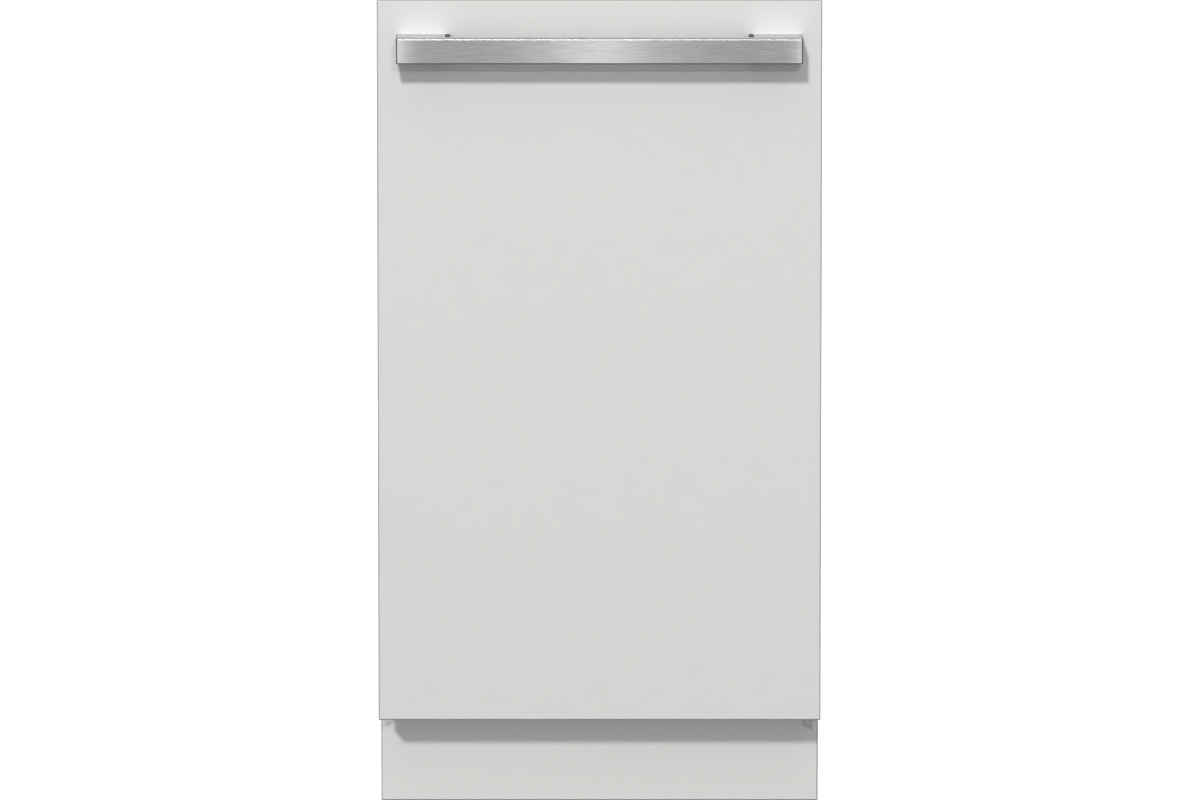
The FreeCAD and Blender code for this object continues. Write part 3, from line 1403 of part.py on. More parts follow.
def lower_rack():
    """Lower wire rack with plate pegs and wheel hangers."""
    floor = net("XY", (LOWER_FLOOR, LOWER_DECK), wide(LOWER_HALF), RACK_Y, "rack_mesh")
    bars = tine_bars(LOWER_HALF, LOWER_FLOOR, LOWER_ROWS)
    deck = f"({LOWER_DECK} + rack_wire)"
    pegs = tines(LOWER_HALF, deck, "lower_tine", LOWER_ROWS, LOWER_PEGS)
    hangers = [hanger(y) for y in AXLES]
    sides = walls(LOWER_HALF, LOWER_FLOOR, LOWER_TOP, LOWER_FRONT_TOP)
    return group(floor, *bars, *sides, *hangers, *(mirror(h) for h in hangers), *pegs)


def wheels(y):
    """A pair of rack wheels on one axis."""
    bore = "(axle_radius + pin_gap)"
    crown = f"({WHEEL_IN} + wheel_thick / 2)"
    profile = [
        (bore, WHEEL_IN),
        ("wheel_radius - axle_radius / 2", WHEEL_IN),
        ("wheel_radius", crown),
        ("wheel_radius - axle_radius / 2", WHEEL_OUT),
        (bore, WHEEL_OUT),
    ]
    return pair(turned("X", (y, AXLE_Z), profile))


def wheels_front():
    """Front wheels of the lower rack."""
    return wheels(AXLES[0])


def wheels_rear():
    """Rear wheels of the lower rack."""
    return wheels(AXLES[1])


# Feet
def foot(place):
    """A screw foot: a round pad, a collar up to the tray and a stem that runs in the tray's boss."""
    collar_top = "(base_lift - fit_gap)"
    profile = [
        ("0", "0"),
        ("foot_radius", "0"),
        ("foot_radius", "foot_high"),
        ("foot_collar", "foot_high"),
        ("foot_collar", collar_top),
        ("foot_stem", collar_top),
        ("foot_stem", "foot_stem_top"),
        ("0", "foot_stem_top"),
    ]
    return turned("Z", FOOT_PLACES[place], profile)


def foot_front_left():
    """Front left foot."""
    return foot("left")


def foot_front_right():
    """Front right foot."""
    return foot("right")


def foot_rear():
    """Rear foot, in the middle."""
    return foot("rear")


VANES = 6
NOZZLES = 4
UPPER_ROWS = 2
UPPER_PEGS = 8
LOWER_ROWS = 3
LOWER_PEGS = 9
AXLES = (f"({RACK_FRONT} + axle_front)", f"({RACK_BACK} - axle_back)")
FOOT_PLACES = {
    "left": (f"foot_inset - {HALF}", FOOT_FRONT_Y),
    "right": (f"{HALF} - foot_inset", FOOT_FRONT_Y),
    "rear": ("0", FOOT_BACK_Y),
}
PIECES = [
    base_tray, tub_wrap, tub_back, tub_floor, front_frame, door_gasket, side_panel_left, side_panel_right,
    rear_panel, top_cover, plinth_panel, sump, filter_plate, filter_cylinder, pump_housing, pump_motor,
    pump_impeller, water_heater, drain_pump, drain_pipe, water_softener, salt_cap, inlet_valve, mains_inlet,
    feed_pipe, lower_spray_arm, middle_spray_arm, top_spray_arm, hinge_brackets, hinge_pins, door_springs,
    hinge_arms, front_panel, handle, front_screws, door_outer_sheet, door_liner, control_panel,
    display_window, control_board, power_button, program_button, start_button, door_lock, latch_strike,
    dispenser_housing, dispenser_lid, rinse_aid_cap, rack_rails, rail_slides, upper_rack, upper_rack_duct,
    cup_shelf, cutlery_tray, lower_rack, wheels_front, wheels_rear, foot_front_left, foot_front_right,
    foot_rear,
]


def main():
    """Builds every sub-part, checks the document and writes one STEP file for each node."""
    nodes = {}
    for make in PIECES:
        nodes[make.__name__] = make()
        nodes[make.__name__].Label = make.__name__
    doc.recompute()
    faults = [o.Label for o in doc.Objects if {"Invalid", "Error"} & set(o.State)]
    faults += [name for name, o in nodes.items() if o.Shape.isNull() or not o.Shape.isValid()]
    if faults:
        raise RuntimeError(f"these objects failed: {faults}")
    os.makedirs("parts", exist_ok=True)
    for name, thing in nodes.items():
        thing.Shape.exportStep(f"parts/{name}.step")
    print(f"{len(nodes)} nodes written")


main()
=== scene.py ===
# %% [markdown]
# A slim built-in dishwasher with a lacquered furniture front. The CAD model comes in as a fixed frame:
# every sheet, pump and hinge is already in its place. Blender's share is the look. It adds finishes to
# the CAD nodes and finer meshes for the round, soft and wiry pieces. All lengths are in metres. The front
# looks along -Y, Z is up, and the floor is at zero.

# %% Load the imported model
import json
import math

import bmesh
import bpy
from mathutils import Matrix, Vector


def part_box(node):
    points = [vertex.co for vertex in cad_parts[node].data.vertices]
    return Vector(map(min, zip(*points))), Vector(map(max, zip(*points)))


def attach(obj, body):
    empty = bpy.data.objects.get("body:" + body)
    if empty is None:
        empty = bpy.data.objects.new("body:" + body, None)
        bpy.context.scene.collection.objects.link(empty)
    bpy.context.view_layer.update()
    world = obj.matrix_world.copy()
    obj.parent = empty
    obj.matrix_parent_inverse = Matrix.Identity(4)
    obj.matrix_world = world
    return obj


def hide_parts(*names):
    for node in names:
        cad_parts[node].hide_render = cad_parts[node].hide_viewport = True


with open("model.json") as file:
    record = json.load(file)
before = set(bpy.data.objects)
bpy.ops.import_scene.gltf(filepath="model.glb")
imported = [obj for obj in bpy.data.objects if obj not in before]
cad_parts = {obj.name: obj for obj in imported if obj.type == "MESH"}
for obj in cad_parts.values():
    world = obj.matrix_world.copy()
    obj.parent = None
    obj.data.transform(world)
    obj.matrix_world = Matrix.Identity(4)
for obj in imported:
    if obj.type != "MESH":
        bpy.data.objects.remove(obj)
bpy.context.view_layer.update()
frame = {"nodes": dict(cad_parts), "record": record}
nodes = frame["nodes"]

# %% [markdown]
# The photograph is a catalogue picture: the front is seen square on, with hardly any perspective. A long
# lens far away gives that. The camera stands a little above the machine and looks down by about eight
# degrees, so that the panel hides the top of the plinth as much as it does in the picture. A lens shift
# could do the same, but it would push the object off centre in every other view.

# %% Camera
LOOK_DOWN = 8.456
scene = bpy.context.scene
lens = bpy.data.cameras.new("long_lens")
lens.lens = 352.6
lens.sensor_width = 36.0
lens.clip_end = 200.0
camera = bpy.data.objects.new("long_lens", lens)
camera.location = (0.0005, -12.0, 2.167)
camera.rotation_euler = (math.radians(90 - LOOK_DOWN), 0.0, 0.0)
scene.collection.objects.link(camera)
scene.camera = camera
print("camera", tuple(round(x, 3) for x in camera.location), "lens", lens.lens)

# %% [markdown]
# The floor is a white paper sweep. It lies flat round the machine and curls up far away, so that every
# view has the plain white ground of a catalogue picture. The paper glows by itself and shows in the
# steel, but it doesn't light the lacquer: in the photograph the panel gets darker towards the floor, so
# hardly any light came up from below. An even weak surround stands in for the rest of the room. The
# display transform is Standard, because a catalogue white has to come out as white and a light grey as
# that grey.

# %% Floor and white surround
scene.view_settings.view_transform = "Standard"
scene.view_settings.look = "None"
world = bpy.data.worlds.new("white_room")
world.use_nodes = True
surround = world.node_tree.nodes["Background"]
surround.inputs["Color"].default_value = (1.0, 1.0, 1.0, 1.0)
surround.inputs["Strength"].default_value = 0.49
scene.world = world


def paper_sweep(half, flat, curl):
    """A square sheet that lies flat out to a radius and then curls up."""
    mesh = bpy.data.meshes.new("paper_floor")
    sheet = bmesh.new()
    bmesh.ops.create_grid(sheet, x_segments=48, y_segments=48, size=half)
    for vert in sheet.verts:
        vert.co.z = max(0.0, vert.co.xy.length - flat) ** 2 / curl
    sheet.to_mesh(mesh)
    sheet.free()
    mesh.polygons.foreach_set("use_smooth", [True] * len(mesh.polygons))
    sweep = bpy.data.objects.new("paper_floor", mesh)
    scene.collection.objects.link(sweep)
    return sweep


floor = paper_sweep(half=60.0, flat=20.0, curl=30.0)
floor.visible_diffuse = False
paper = bpy.data.materials.new("white_paper")
paper.use_nodes = True
paper_shader = paper.node_tree.nodes["Principled BSDF"]
paper_shader.inputs["Base Color"].default_value = (0.2, 0.2, 0.2, 1.0)
paper_shader.inputs["Roughness"].default_value = 0.9
paper_shader.inputs["Emission Color"].default_value = (1.0, 1.0, 1.0, 1.0)
paper_shader.inputs["Emission Strength"].default_value = 0.98
floor.data.materials.append(paper)
print("floor", floor.dimensions[:])

# %% [markdown]
# The shadows tell where the lamps were. The panel throws a shadow about 24 mm long on a plinth 47 mm
# behind it, and the handle's shadow lies below it and a little to the right. So the main lamp stands high
# in front and left of the camera. A second, weaker edge just under the handle says that a faint lamp
# stood lower. The plinth shows one edge only, so the panel is told not to block that faint lamp. A wide
# ceiling light fills. A studio keeps light off a piece with flags, and light linking does the same here.
# The shadow on the plinth starts a little in from its left end, which asks for light from further left,
# so the plinth and the hinges have a lamp of their own. A narrow spot lifts the left hinge out of the
# panel's shade, and a lamp straight ahead brightens the thin front edges of the side sheets, which don't
# show in the photograph. High lamps at the sides and behind rake over the outer sheets alone, for the
# views that the photograph doesn't show.

# %% Lamps
HINGES = ["hinge_arms", "hinge_brackets", "hinge_pins"]
SIDES = ["side_panel_left", "side_panel_right"]


def stood(name, lamp, place, target):
    """A lamp set up at a place and aimed at a target."""
    holder = bpy.data.objects.new(name, lamp)
    holder.location = place
    aim = Vector(target) - Vector(place)
    holder.rotation_euler = aim.to_track_quat("-Z", "Y").to_euler()
    scene.collection.objects.link(holder)
    return holder


def softbox(name, place, target, width, height, watts):
    lamp = bpy.data.lights.new(name, "AREA")
    lamp.shape = "RECTANGLE"
    lamp.size = width
    lamp.size_y = height
    lamp.energy = watts
    return stood(name, lamp, place, target)


def spotlight(name, place, target, degrees, watts):
    lamp = bpy.data.lights.new(name, "SPOT")
    lamp.spot_size = math.radians(degrees)
    lamp.energy = watts
    return stood(name, lamp, place, target)


def linked_group(name, members, state):
    """A collection that tells a lamp which nodes it reaches (INCLUDE) or passes over (EXCLUDE)."""
    group = bpy.data.collections.new(name)
    for member in members:
        group.objects.link(nodes[member])
    for entry in group.collection_objects:
        entry.light_linking.link_state = state
    return group


def lights(lamp, *members, state="INCLUDE"):
    """The only nodes that a lamp lights, or those that it leaves out."""
    lamp.light_linking.receiver_collection = linked_group(lamp.name + "_reach", members, state)


def shaded_by(lamp, *members, state="INCLUDE"):
    """The only nodes that shade a lamp, or those that let its light through."""
    lamp.light_linking.blocker_collection = linked_group(lamp.name + "_shade", members, state)


main_lamp = softbox("main_lamp", (-1.15, -8.6, 5.8), (0.0, -0.25, 0.45), 0.75, 0.75, 785.0)
lights(main_lamp, "top_cover", "plinth_panel", *HINGES, state="EXCLUDE")
front_lamp = softbox("front_lamp", (0.9, -9.0, 3.5), (0.0, -0.25, 0.45), 0.6, 0.4, 148.0)
shaded_by(front_lamp, "front_panel", state="EXCLUDE")
softbox("ceiling_lamp", (0.0, -1.2, 5.2), (0.0, -0.2, 0.0), 7.0, 6.0, 104.0)
plinth_lamp = softbox("plinth_lamp", (-4.8, -8.6, 5.8), (0.0, -0.22, 0.05), 1.1, 0.85, 1030.0)
lights(plinth_lamp, "plinth_panel", *HINGES)
shaded_by(plinth_lamp, "front_panel")
hinge_lamp = spotlight("hinge_lamp", (-2.0, -8.6, 0.3), (-0.215, -0.22, 0.09), 1.6, 1700.0)
lights(hinge_lamp, *HINGES)
edge_lamp = softbox("edge_lamp", (0.0, -9.0, 0.6), (0.0, -0.18, 0.08), 0.3, 0.3, 1500.0)
lights(edge_lamp, *SIDES)
for lamp in (hinge_lamp, edge_lamp):
    lamp.data.use_shadow = False
seen_outside = [*SIDES, "rear_panel", "base_tray", "inlet_valve", "mains_inlet", "drain_pipe"]
outer_sheets = linked_group("outer_sheets", seen_outside, "INCLUDE")
high_lamps = {
    "left_lamp": ((-2.4, 0.9, 3.8), 210.0),
    "right_lamp": ((2.4, 0.9, 3.8), 210.0),
    "back_lamp": ((-1.0, 2.2, 4.2), 150.0),
}
for name, (place, watts) in high_lamps.items():
    high_lamp = softbox(name, place, (0.0, 0.1, 0.4), 1.0, 1.0, watts)
    high_lamp.light_linking.receiver_collection = outer_sheets

# %% [markdown]
# Every finish here is the same shader with different detail. Two close tones vary over the surface, the
# roughness varies with them, and a fine bump breaks the reflection. Stretching the noise along one axis
# turns a moulded grain into brushing, because brushing is only grain that is very long in one direction.

# %% A finish from noise


def shader_of(name):
    made = bpy.data.materials.new(name)
    made.use_nodes = True
    tree = made.node_tree
    return made, tree, tree.nodes["Principled BSDF"]


def feed(tree, node, inputs):
    """Fills a node's inputs with numbers, colours or the outputs of other nodes."""
    for socket, value in inputs.items():
        if isinstance(value, bpy.types.NodeSocket):
            tree.links.new(value, node.inputs[socket])
        else:
            node.inputs[socket].default_value = value
    return node


def wired(tree, kind, inputs):
    return feed(tree, tree.nodes.new(kind), inputs)


def position(tree):
    return tree.nodes.new("ShaderNodeTexCoord").outputs["Object"]


def grain_noise(tree, stretch, scale, detail=4.0):
    size = wired(tree, "ShaderNodeMapping", {"Vector": position(tree), "Scale": stretch})
    noise = {"Vector": size.outputs["Vector"], "Scale": scale, "Detail": detail}
    return wired(tree, "ShaderNodeTexNoise", noise).outputs["Fac"]


def stepped(tree, factor, stops, blend="LINEAR"):
    """A colour ramp through stops of (place, colour)."""
    ramp = wired(tree, "ShaderNodeValToRGB", {"Fac": factor})
    ramp.color_ramp.interpolation = blend
    elements = ramp.color_ramp.elements
    for i, (place, colour) in enumerate(stops):
        stop = elements[i] if i < 2 else elements.new(place)
        stop.position = place
        stop.color = (*colour, 1.0)
    return ramp.outputs["Color"]


def tones(tree, factor, colour, vary, low=0.35, high=0.65):
    """A tone that drifts between a darker and a lighter shade of a colour."""
    dark = [c * (1 - vary) for c in colour]
    light = [min(1.0, c * (1 + vary)) for c in colour]
    return stepped(tree, factor, ((low, dark), (high, light)))


def spread(tree, factor, low, high):
    span = {"Value": factor, "To Min": low, "To Max": high}
    return wired(tree, "ShaderNodeMapRange", span).outputs["Result"]


def relief(tree, factor, depth, strength):
    bump = {"Height": factor, "Distance": depth, "Strength": strength}
    return wired(tree, "ShaderNodeBump", bump).outputs["Normal"]


def grained(name, colour, vary, rough, scale, depth=0.0001, metal=0.0, strength=0.3):
    made, tree, shader = shader_of(name)
    coarse = grain_noise(tree, (1, 1, 1), scale * 0.12, 3.0)
    fine = grain_noise(tree, (1, 1, 1), scale, 5.0)
    feed(tree, shader, {
        "Base Color": tones(tree, coarse, colour, vary),
        "Roughness": spread(tree, fine, *rough),
        "Normal": relief(tree, fine, depth, strength),
        "Metallic": metal,
    })
    return made


print("finish helpers ready")

# %% [markdown]
# The front and the plinth are boards with a light grey satin lacquer. Sprayed lacquer isn't perfectly
# flat: it has a very fine orange peel and its tone drifts by half a percent over the board. Both come
# from soft noise. The rounded side edges and the faces that look up, such as the board's top, are painted
# darker as painted shade, and the rounded lower edges darker still. Edges are found by the way they face:
# a face that looks straight along an axis is flat, and one that looks in between is a rounded edge.

# %% Lacquer


def edge_only(tree, slope):
    """One on a rounded edge, nothing on the flat faces at either side of it."""
    shares = ((0.06, 0.0), (0.2, 1.0), (0.95, 1.0), (0.992, 0.0))
    return stepped(tree, slope, [(place, (share, share, share)) for place, share in shares])


def maths(tree, operation, *values):
    step = tree.nodes.new("ShaderNodeMath")
    step.operation = operation
    return feed(tree, step, dict(enumerate(values))).outputs[0]


def mixed(tree, under, colour, share, blend="MIX"):
    """Two colours mixed by a share."""
    layer = tree.nodes.new("ShaderNodeMix")
    layer.data_type = "RGBA"
    layer.blend_type = blend
    return feed(tree, layer, {0: share, 6: under, 7: colour}).outputs[2]


def over(tree, under, colour, share):
    return mixed(tree, under, (*colour, 1.0), share)


def facing(tree):
    """Shares of the side edges and the lower edges, and how far the surface looks up."""
    faces = tree.nodes.new("ShaderNodeNewGeometry")
    parts = wired(tree, "ShaderNodeSeparateXYZ", {"Vector": faces.outputs["Normal"]})
    ends = edge_only(tree, maths(tree, "ABSOLUTE", parts.outputs["X"]))
    under = edge_only(tree, maths(tree, "MULTIPLY", parts.outputs["Z"], -1.0))
    return ends, under, parts.outputs["Z"]


# Painted shade: how much darker the lacquer is on the side edges and the top, and on the lower edges.
PAINTED_EDGE_SHADE, PAINTED_UNDER_SHADE = 0.6, 0.45


def lacquer(name, colour):
    made = grained(name, colour, 0.005, (0.36, 0.46), 420.0, depth=0.00005, strength=0.18)
    tree = made.node_tree
    shader = tree.nodes["Principled BSDF"]
    ends, under, upwards = facing(tree)
    coat_and_shade = shader.inputs["Base Color"].links[0].from_socket
    # Painted shade: darker on the rounded side edges and upward faces, darker still on the rounded lower
    # edges.
    painted_shade_mask = maths(tree, "MAXIMUM", ends, spread(tree, upwards, 0.0, 1.0))
    coat_and_shade = over(tree, coat_and_shade, [c * PAINTED_EDGE_SHADE for c in colour], painted_shade_mask)
    coat_and_shade = over(tree, coat_and_shade, [c * PAINTED_UNDER_SHADE for c in colour], under)
    feed(tree, shader, {"Base Color": coat_and_shade, "Specular IOR Level": 0.35})
    return made


finishes = {
    "front_lacquer": lacquer("front_lacquer", (0.466, 0.466, 0.455)),
    "plinth_lacquer": lacquer("plinth_lacquer", (0.49, 0.49, 0.478)),
}
print("lacquers", list(finishes))

# %% [markdown]
# The handle is a stainless bar brushed along its length. The brushing is noise squeezed hard across the
# bar, so each line runs far along it. Bright and dull stretches along the bar are painted reflections: a
# grey ramp along its length, bright in the middle and at the ends. The top faces are painted light as a
# painted highlight, and the rounded edges round the top are painted darker to hold that highlight down.
# The rounded edges at the ends and below are painted dark and made less metallic, as painted shade.

# %% Brushed steel


BRUSH_DEPTH, BRUSH_STRENGTH = 0.00003, 0.35


def brushed(name, colour, vary, rough, stretch):
    made, tree, shader = shader_of(name)
    lines = grain_noise(tree, stretch, 900.0, 3.0)
    drift = grain_noise(tree, (1, 1, 1), 6.0, 1.0)
    both = maths(tree, "MULTIPLY_ADD", drift, 0.45, maths(tree, "MULTIPLY", lines, 0.55))
    feed(tree, shader, {
        "Base Color": tones(tree, both, colour, vary),
        "Roughness": spread(tree, lines, *rough),
        "Normal": relief(tree, lines, BRUSH_DEPTH, BRUSH_STRENGTH),
        "Metallic": 1.0,
    })
    return made


handle_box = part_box("handle")
# Painted reflections: greys along the bar's length, bright in the middle and at the ends, dull between.
PAINTED_REFLECTION_GREYS = ((0.0, 0.5), (0.03, 0.31), (0.06, 0.24), (0.2, 0.235), (0.36, 0.3), (0.5, 0.5),
              (0.62, 0.31), (0.78, 0.23), (0.95, 0.235), (0.98, 0.3), (1.0, 0.46))


def handle_finish():
    made, tree, shader = shader_of("handle_steel")
    split = wired(tree, "ShaderNodeSeparateXYZ", {"Vector": position(tree)})
    length = {"Value": split.outputs["X"], "From Min": handle_box[0].x, "From Max": handle_box[1].x}
    along = wired(tree, "ShaderNodeMapRange", length).outputs["Result"]
    stops = [(place, (grey, grey * 1.015, grey * 1.005)) for place, grey in PAINTED_REFLECTION_GREYS]
    # Painted reflections along the bar.
    painted_reflections = stepped(tree, along, stops, "B_SPLINE")
    lines = grain_noise(tree, (0.03, 1, 1), 1300.0, 3.0)
    streaks = stepped(tree, lines, ((0.32, (0.82, 0.82, 0.82)), (0.68, (1.0, 1.0, 1.0))))
    ends, under, upwards = facing(tree)
    colour = mixed(tree, painted_reflections, streaks, 1.0, "MULTIPLY")
    # Painted highlight on the top faces; the rounded edges round the top are painted darker.
    colour = over(tree, colour, (0.78, 0.79, 0.79), spread(tree, upwards, 0.0, 1.0))
    colour = over(tree, colour, (0.2, 0.2, 0.2), edge_only(tree, upwards))
    # Painted shade: dark rounded edges at the ends and below, made less metallic too.
    colour = over(tree, colour, (0.06, 0.063, 0.062), ends)
    colour = over(tree, colour, (0.05, 0.053, 0.052), under)
    feed(tree, shader, {
        "Base Color": colour,
        "Roughness": spread(tree, lines, 0.22, 0.36),
        "Normal": relief(tree, lines, BRUSH_DEPTH, BRUSH_STRENGTH),
        "Metallic": spread(tree, maths(tree, "MAXIMUM", ends, under), 1.0, 0.2),
        "Specular Tint": (0.65, 0.65, 0.65, 1.0),
    })
    return made


finishes["handle_steel"] = handle_finish()
brushed_steels = {
    "tub_steel": ((0.54, 0.54, 0.53), 0.07, (0.16, 0.3), (1, 1, 0.03)),
    "filter_steel": ((0.58, 0.58, 0.57), 0.08, (0.25, 0.4), (0.05, 1, 1)),
}
plain_metals = {
    "bracket_steel": ((0.56, 0.57, 0.57), 0.14, (0.34, 0.52), 700.0, 1.0),
    "spring_steel": ((0.42, 0.42, 0.42), 0.15, (0.25, 0.4), 900.0, 1.0),
    "motor_metal": ((0.5, 0.51, 0.52), 0.15, (0.4, 0.6), 300.0, 0.9),
}
for slot, look in brushed_steels.items():
    finishes[slot] = brushed(slot, *look)
for slot, (colour, vary, rough, scale, metal) in plain_metals.items():
    finishes[slot] = grained(slot, colour, vary, rough, scale, metal=metal)
print("steels", len(finishes))

# %% [markdown]
# The outer sheets are galvanised steel, which shows a mottle of zinc crystals. The crystals are Voronoi
# cells: each cell gets its own grey and its own roughness, so they glint one by one.

# %% Galvanised sheet


def galvanised(name, colour, vary, cell):
    made, tree, shader = shader_of(name)
    cells = {"Vector": position(tree), "Scale": 1.0 / cell}
    crystals = wired(tree, "ShaderNodeTexVoronoi", cells)
    split = wired(tree, "ShaderNodeSeparateColor", {"Color": crystals.outputs["Color"]})
    fine = grain_noise(tree, (1, 1, 1), 500.0)
    feed(tree, shader, {
        "Base Color": tones(tree, split.outputs["Red"], colour, vary, 0.0, 1.0),
        "Roughness": spread(tree, split.outputs["Green"], 0.54, 0.66),
        "Normal": relief(tree, fine, 0.00004, 0.2),
        "Metallic": 0.6,
    })
    return made


finishes["cabinet_steel"] = galvanised("cabinet_steel", (0.30, 0.305, 0.31), 0.08, 0.010)
print("sheet", finishes["cabinet_steel"].name)

# %% [markdown]
# The moulded parts differ in colour and gloss. Base parts are dull dark grey, the control strip is satin
# black, water parts are pale grey polypropylene. A fine spark-eroded grain is on all of them.

# %% Moulded plastics and rubber
moulded = {
    "base_plastic": ((0.045, 0.047, 0.05), 0.10, (0.5, 0.66), 380.0),
    "gasket_rubber": ((0.02, 0.02, 0.021), 0.15, (0.55, 0.75), 600.0),
    "spray_plastic": ((0.36, 0.37, 0.38), 0.05, (0.36, 0.5), 500.0),
    "filter_plastic": ((0.30, 0.31, 0.32), 0.06, (0.38, 0.5), 500.0),
    "cap_plastic": ((0.55, 0.56, 0.57), 0.04, (0.36, 0.5), 500.0),
    "valve_plastic": ((0.72, 0.72, 0.70), 0.04, (0.38, 0.52), 450.0),
    "control_plastic": ((0.028, 0.029, 0.031), 0.12, (0.3, 0.42), 650.0),
    "key_plastic": ((0.50, 0.51, 0.52), 0.05, (0.3, 0.42), 650.0),
    "circuit_board": ((0.02, 0.16, 0.06), 0.2, (0.35, 0.55), 420.0),
    "dispenser_plastic": ((0.52, 0.53, 0.54), 0.04, (0.34, 0.48), 520.0),
    "rack_coating": ((0.34, 0.35, 0.37), 0.05, (0.38, 0.52), 420.0),
    "tray_plastic": ((0.40, 0.41, 0.43), 0.05, (0.4, 0.54), 480.0),
    "foot_plastic": ((0.06, 0.062, 0.065), 0.1, (0.48, 0.64), 420.0),
}
for slot, (colour, vary, rough, scale) in moulded.items():
    finishes[slot] = grained(slot, colour, vary, rough, scale)
print("moulded", len(moulded))

# %% [markdown]
# The display window is a smoked lens, so it is almost black, very smooth and has a clear coat. Only a
# slow drift of tone and a trace of dust keep it from looking like a hole.

# %% Display lens
SMOOTH = 0.00001
smoked = grained("display_lens", (0.012, 0.013, 0.015), 0.2, (0.06, 0.12), 260.0, depth=SMOOTH)
smoked.node_tree.nodes["Principled BSDF"].inputs["Coat Weight"].default_value = 0.5
finishes["display_lens"] = smoked
print("lens", smoked.name)

# %% [markdown]
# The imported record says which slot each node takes. The finish of that name goes on the node. Only the
# hinges get one of their own: such hinges have a dull grey passivated coat that doesn't catch the eye
# under the door.

# %% Finishes onto the CAD nodes
slot_of = {part["node"]: part["material_slot"] for part in frame["record"]["subparts"]}
finishes["hinge_steel"] = grained("hinge_steel", (0.4, 0.4, 0.4), 0.06, (0.5, 0.66), 500.0)
own_finish = {name: "hinge_steel" for name in HINGES}
for name, node in nodes.items():
    node.data.materials.clear()
    node.data.materials.append(finishes[own_finish.get(name, slot_of[name])])
print("finished nodes", len(slot_of))

# %% [markdown]
# Most of the added pieces are one of three things: a wire, a profile swept round a loop, or a turned
# shape. Each gets one helper. A piece is then a few numbers, and all pieces get the same treatment at the
# end: smooth shading with sharp edges kept, a finish, the body that carries it and the CAD node that it
# stands for.

# %% Helpers that place a piece
MM = 0.001


def settled(name, data, body, finish, stands_for=()):
    thing = bpy.data.objects.new(name, data)
    scene.collection.objects.link(thing)
    data.materials.append(finishes[finish])
    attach(thing, body)
    if stands_for:
        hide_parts(*stands_for)
    return thing


def solid(name, shape, body, finish, stands_for=(), sharp=35.0):
    bmesh.ops.recalc_face_normals(shape, faces=shape.faces)
    mesh = bpy.data.meshes.new(name)
    shape.to_mesh(mesh)
    shape.free()
    mesh.polygons.foreach_set("use_smooth", [True] * len(mesh.polygons))
    mesh.set_sharp_from_angle(angle=math.radians(sharp))
    return settled(name, mesh, body, finish, stands_for)


def skin(shape, rings, loop_shut=False):
    """Quads between neighbouring rings of points, in millimetres. An open row of rings gets end faces."""
    rows = [[shape.verts.new(Vector(p) * MM) for p in ring] for ring in rings]
    pairs = list(zip(rows, rows[1:])) + ([(rows[-1], rows[0])] if loop_shut else [])
    count = len(rows[0])
    for one, two in pairs:
        for i in range(count):
            j = (i + 1) % count
            shape.faces.new((one[i], one[j], two[j], two[i]))
    if not loop_shut:
        shape.faces.new(rows[0][::-1])
        shape.faces.new(rows[-1])
    return shape


def turned(shape, centre, axis, profile, steps):
    """A closed profile of (radius, height) pairs turned about an axis through a centre."""
    turn_axis = Vector(axis).normalized()
    side = turn_axis.orthogonal().normalized()
    rings = []
    for i in range(steps):
        out = Matrix.Rotation(math.tau * i / steps, 3, turn_axis) @ side
        rings.append([Vector(centre) + out * r + turn_axis * h for r, h in profile])
    return skin(shape, rings, loop_shut=True)


def swept(shape, path, profile, up, shut=True):
    """A closed profile of (sideways, up) pairs carried along a flat path."""
    up = Vector(up)
    rings = []
    count = len(path)
    for i, point in enumerate(path):
        before = Vector(path[i - 1] if shut or i else path[i])
        after = Vector(path[(i + 1) % count] if shut or i < count - 1 else path[i])
        side = (after - before).normalized().cross(up)
        rings.append([Vector(point) + side * a + up * b for a, b in profile])
    return skin(shape, rings, loop_shut=shut)


def rounded(corners, radii, steps=6):
    """A closed outline in two numbers, with each corner rounded by its own radius."""
    points = []
    count = len(corners)
    for i, corner in enumerate(corners):
        here = Vector(corner)
        back = (Vector(corners[i - 1]) - here).normalized()
        ahead = (Vector(corners[(i + 1) % count]) - here).normalized()
        angle = back.angle(ahead)
        reach = radii[i] / math.tan(angle / 2)
        middle = here + (back + ahead).normalized() * (radii[i] / math.sin(angle / 2))
        start = here + back * reach - middle
        stop = here + ahead * reach - middle
        sweep = start.angle_signed(stop)
        for k in range(steps + 1):
            a = -sweep * k / steps
            points.append(middle + Matrix.Rotation(a, 2) @ start)
    return points


def corners_of(low, high):
    """The four corners of a rectangle between two of them."""
    (a0, b0), (a1, b1) = low, high
    return [(a0, b0), (a1, b0), (a1, b1), (a0, b1)]


def block(shape, low, high, edge):
    """A box with rounded upright edges and chamfered rims."""
    (x0, y0, z0), (x1, y1, z1) = low, high
    chamfer = edge * 0.6

    def ring(inset, z):
        corners = corners_of((x0 + inset, y0 + inset), (x1 - inset, y1 - inset))
        return [(p.x, p.y, z) for p in rounded(corners, [edge] * 4, 4)]

    rings = [ring(chamfer, z0), ring(0, z0 + chamfer), ring(0, z1 - chamfer), ring(chamfer, z1)]
    return skin(shape, rings)


print("piece helpers ready")

# %% [markdown]
# A wire is a curve with a round bevel. One curve object holds all the wires of a rack, so the rack is one
# piece. Bends are drawn as short arcs, because bent wire has a clear radius and isn't a free spline.

# %% Wires


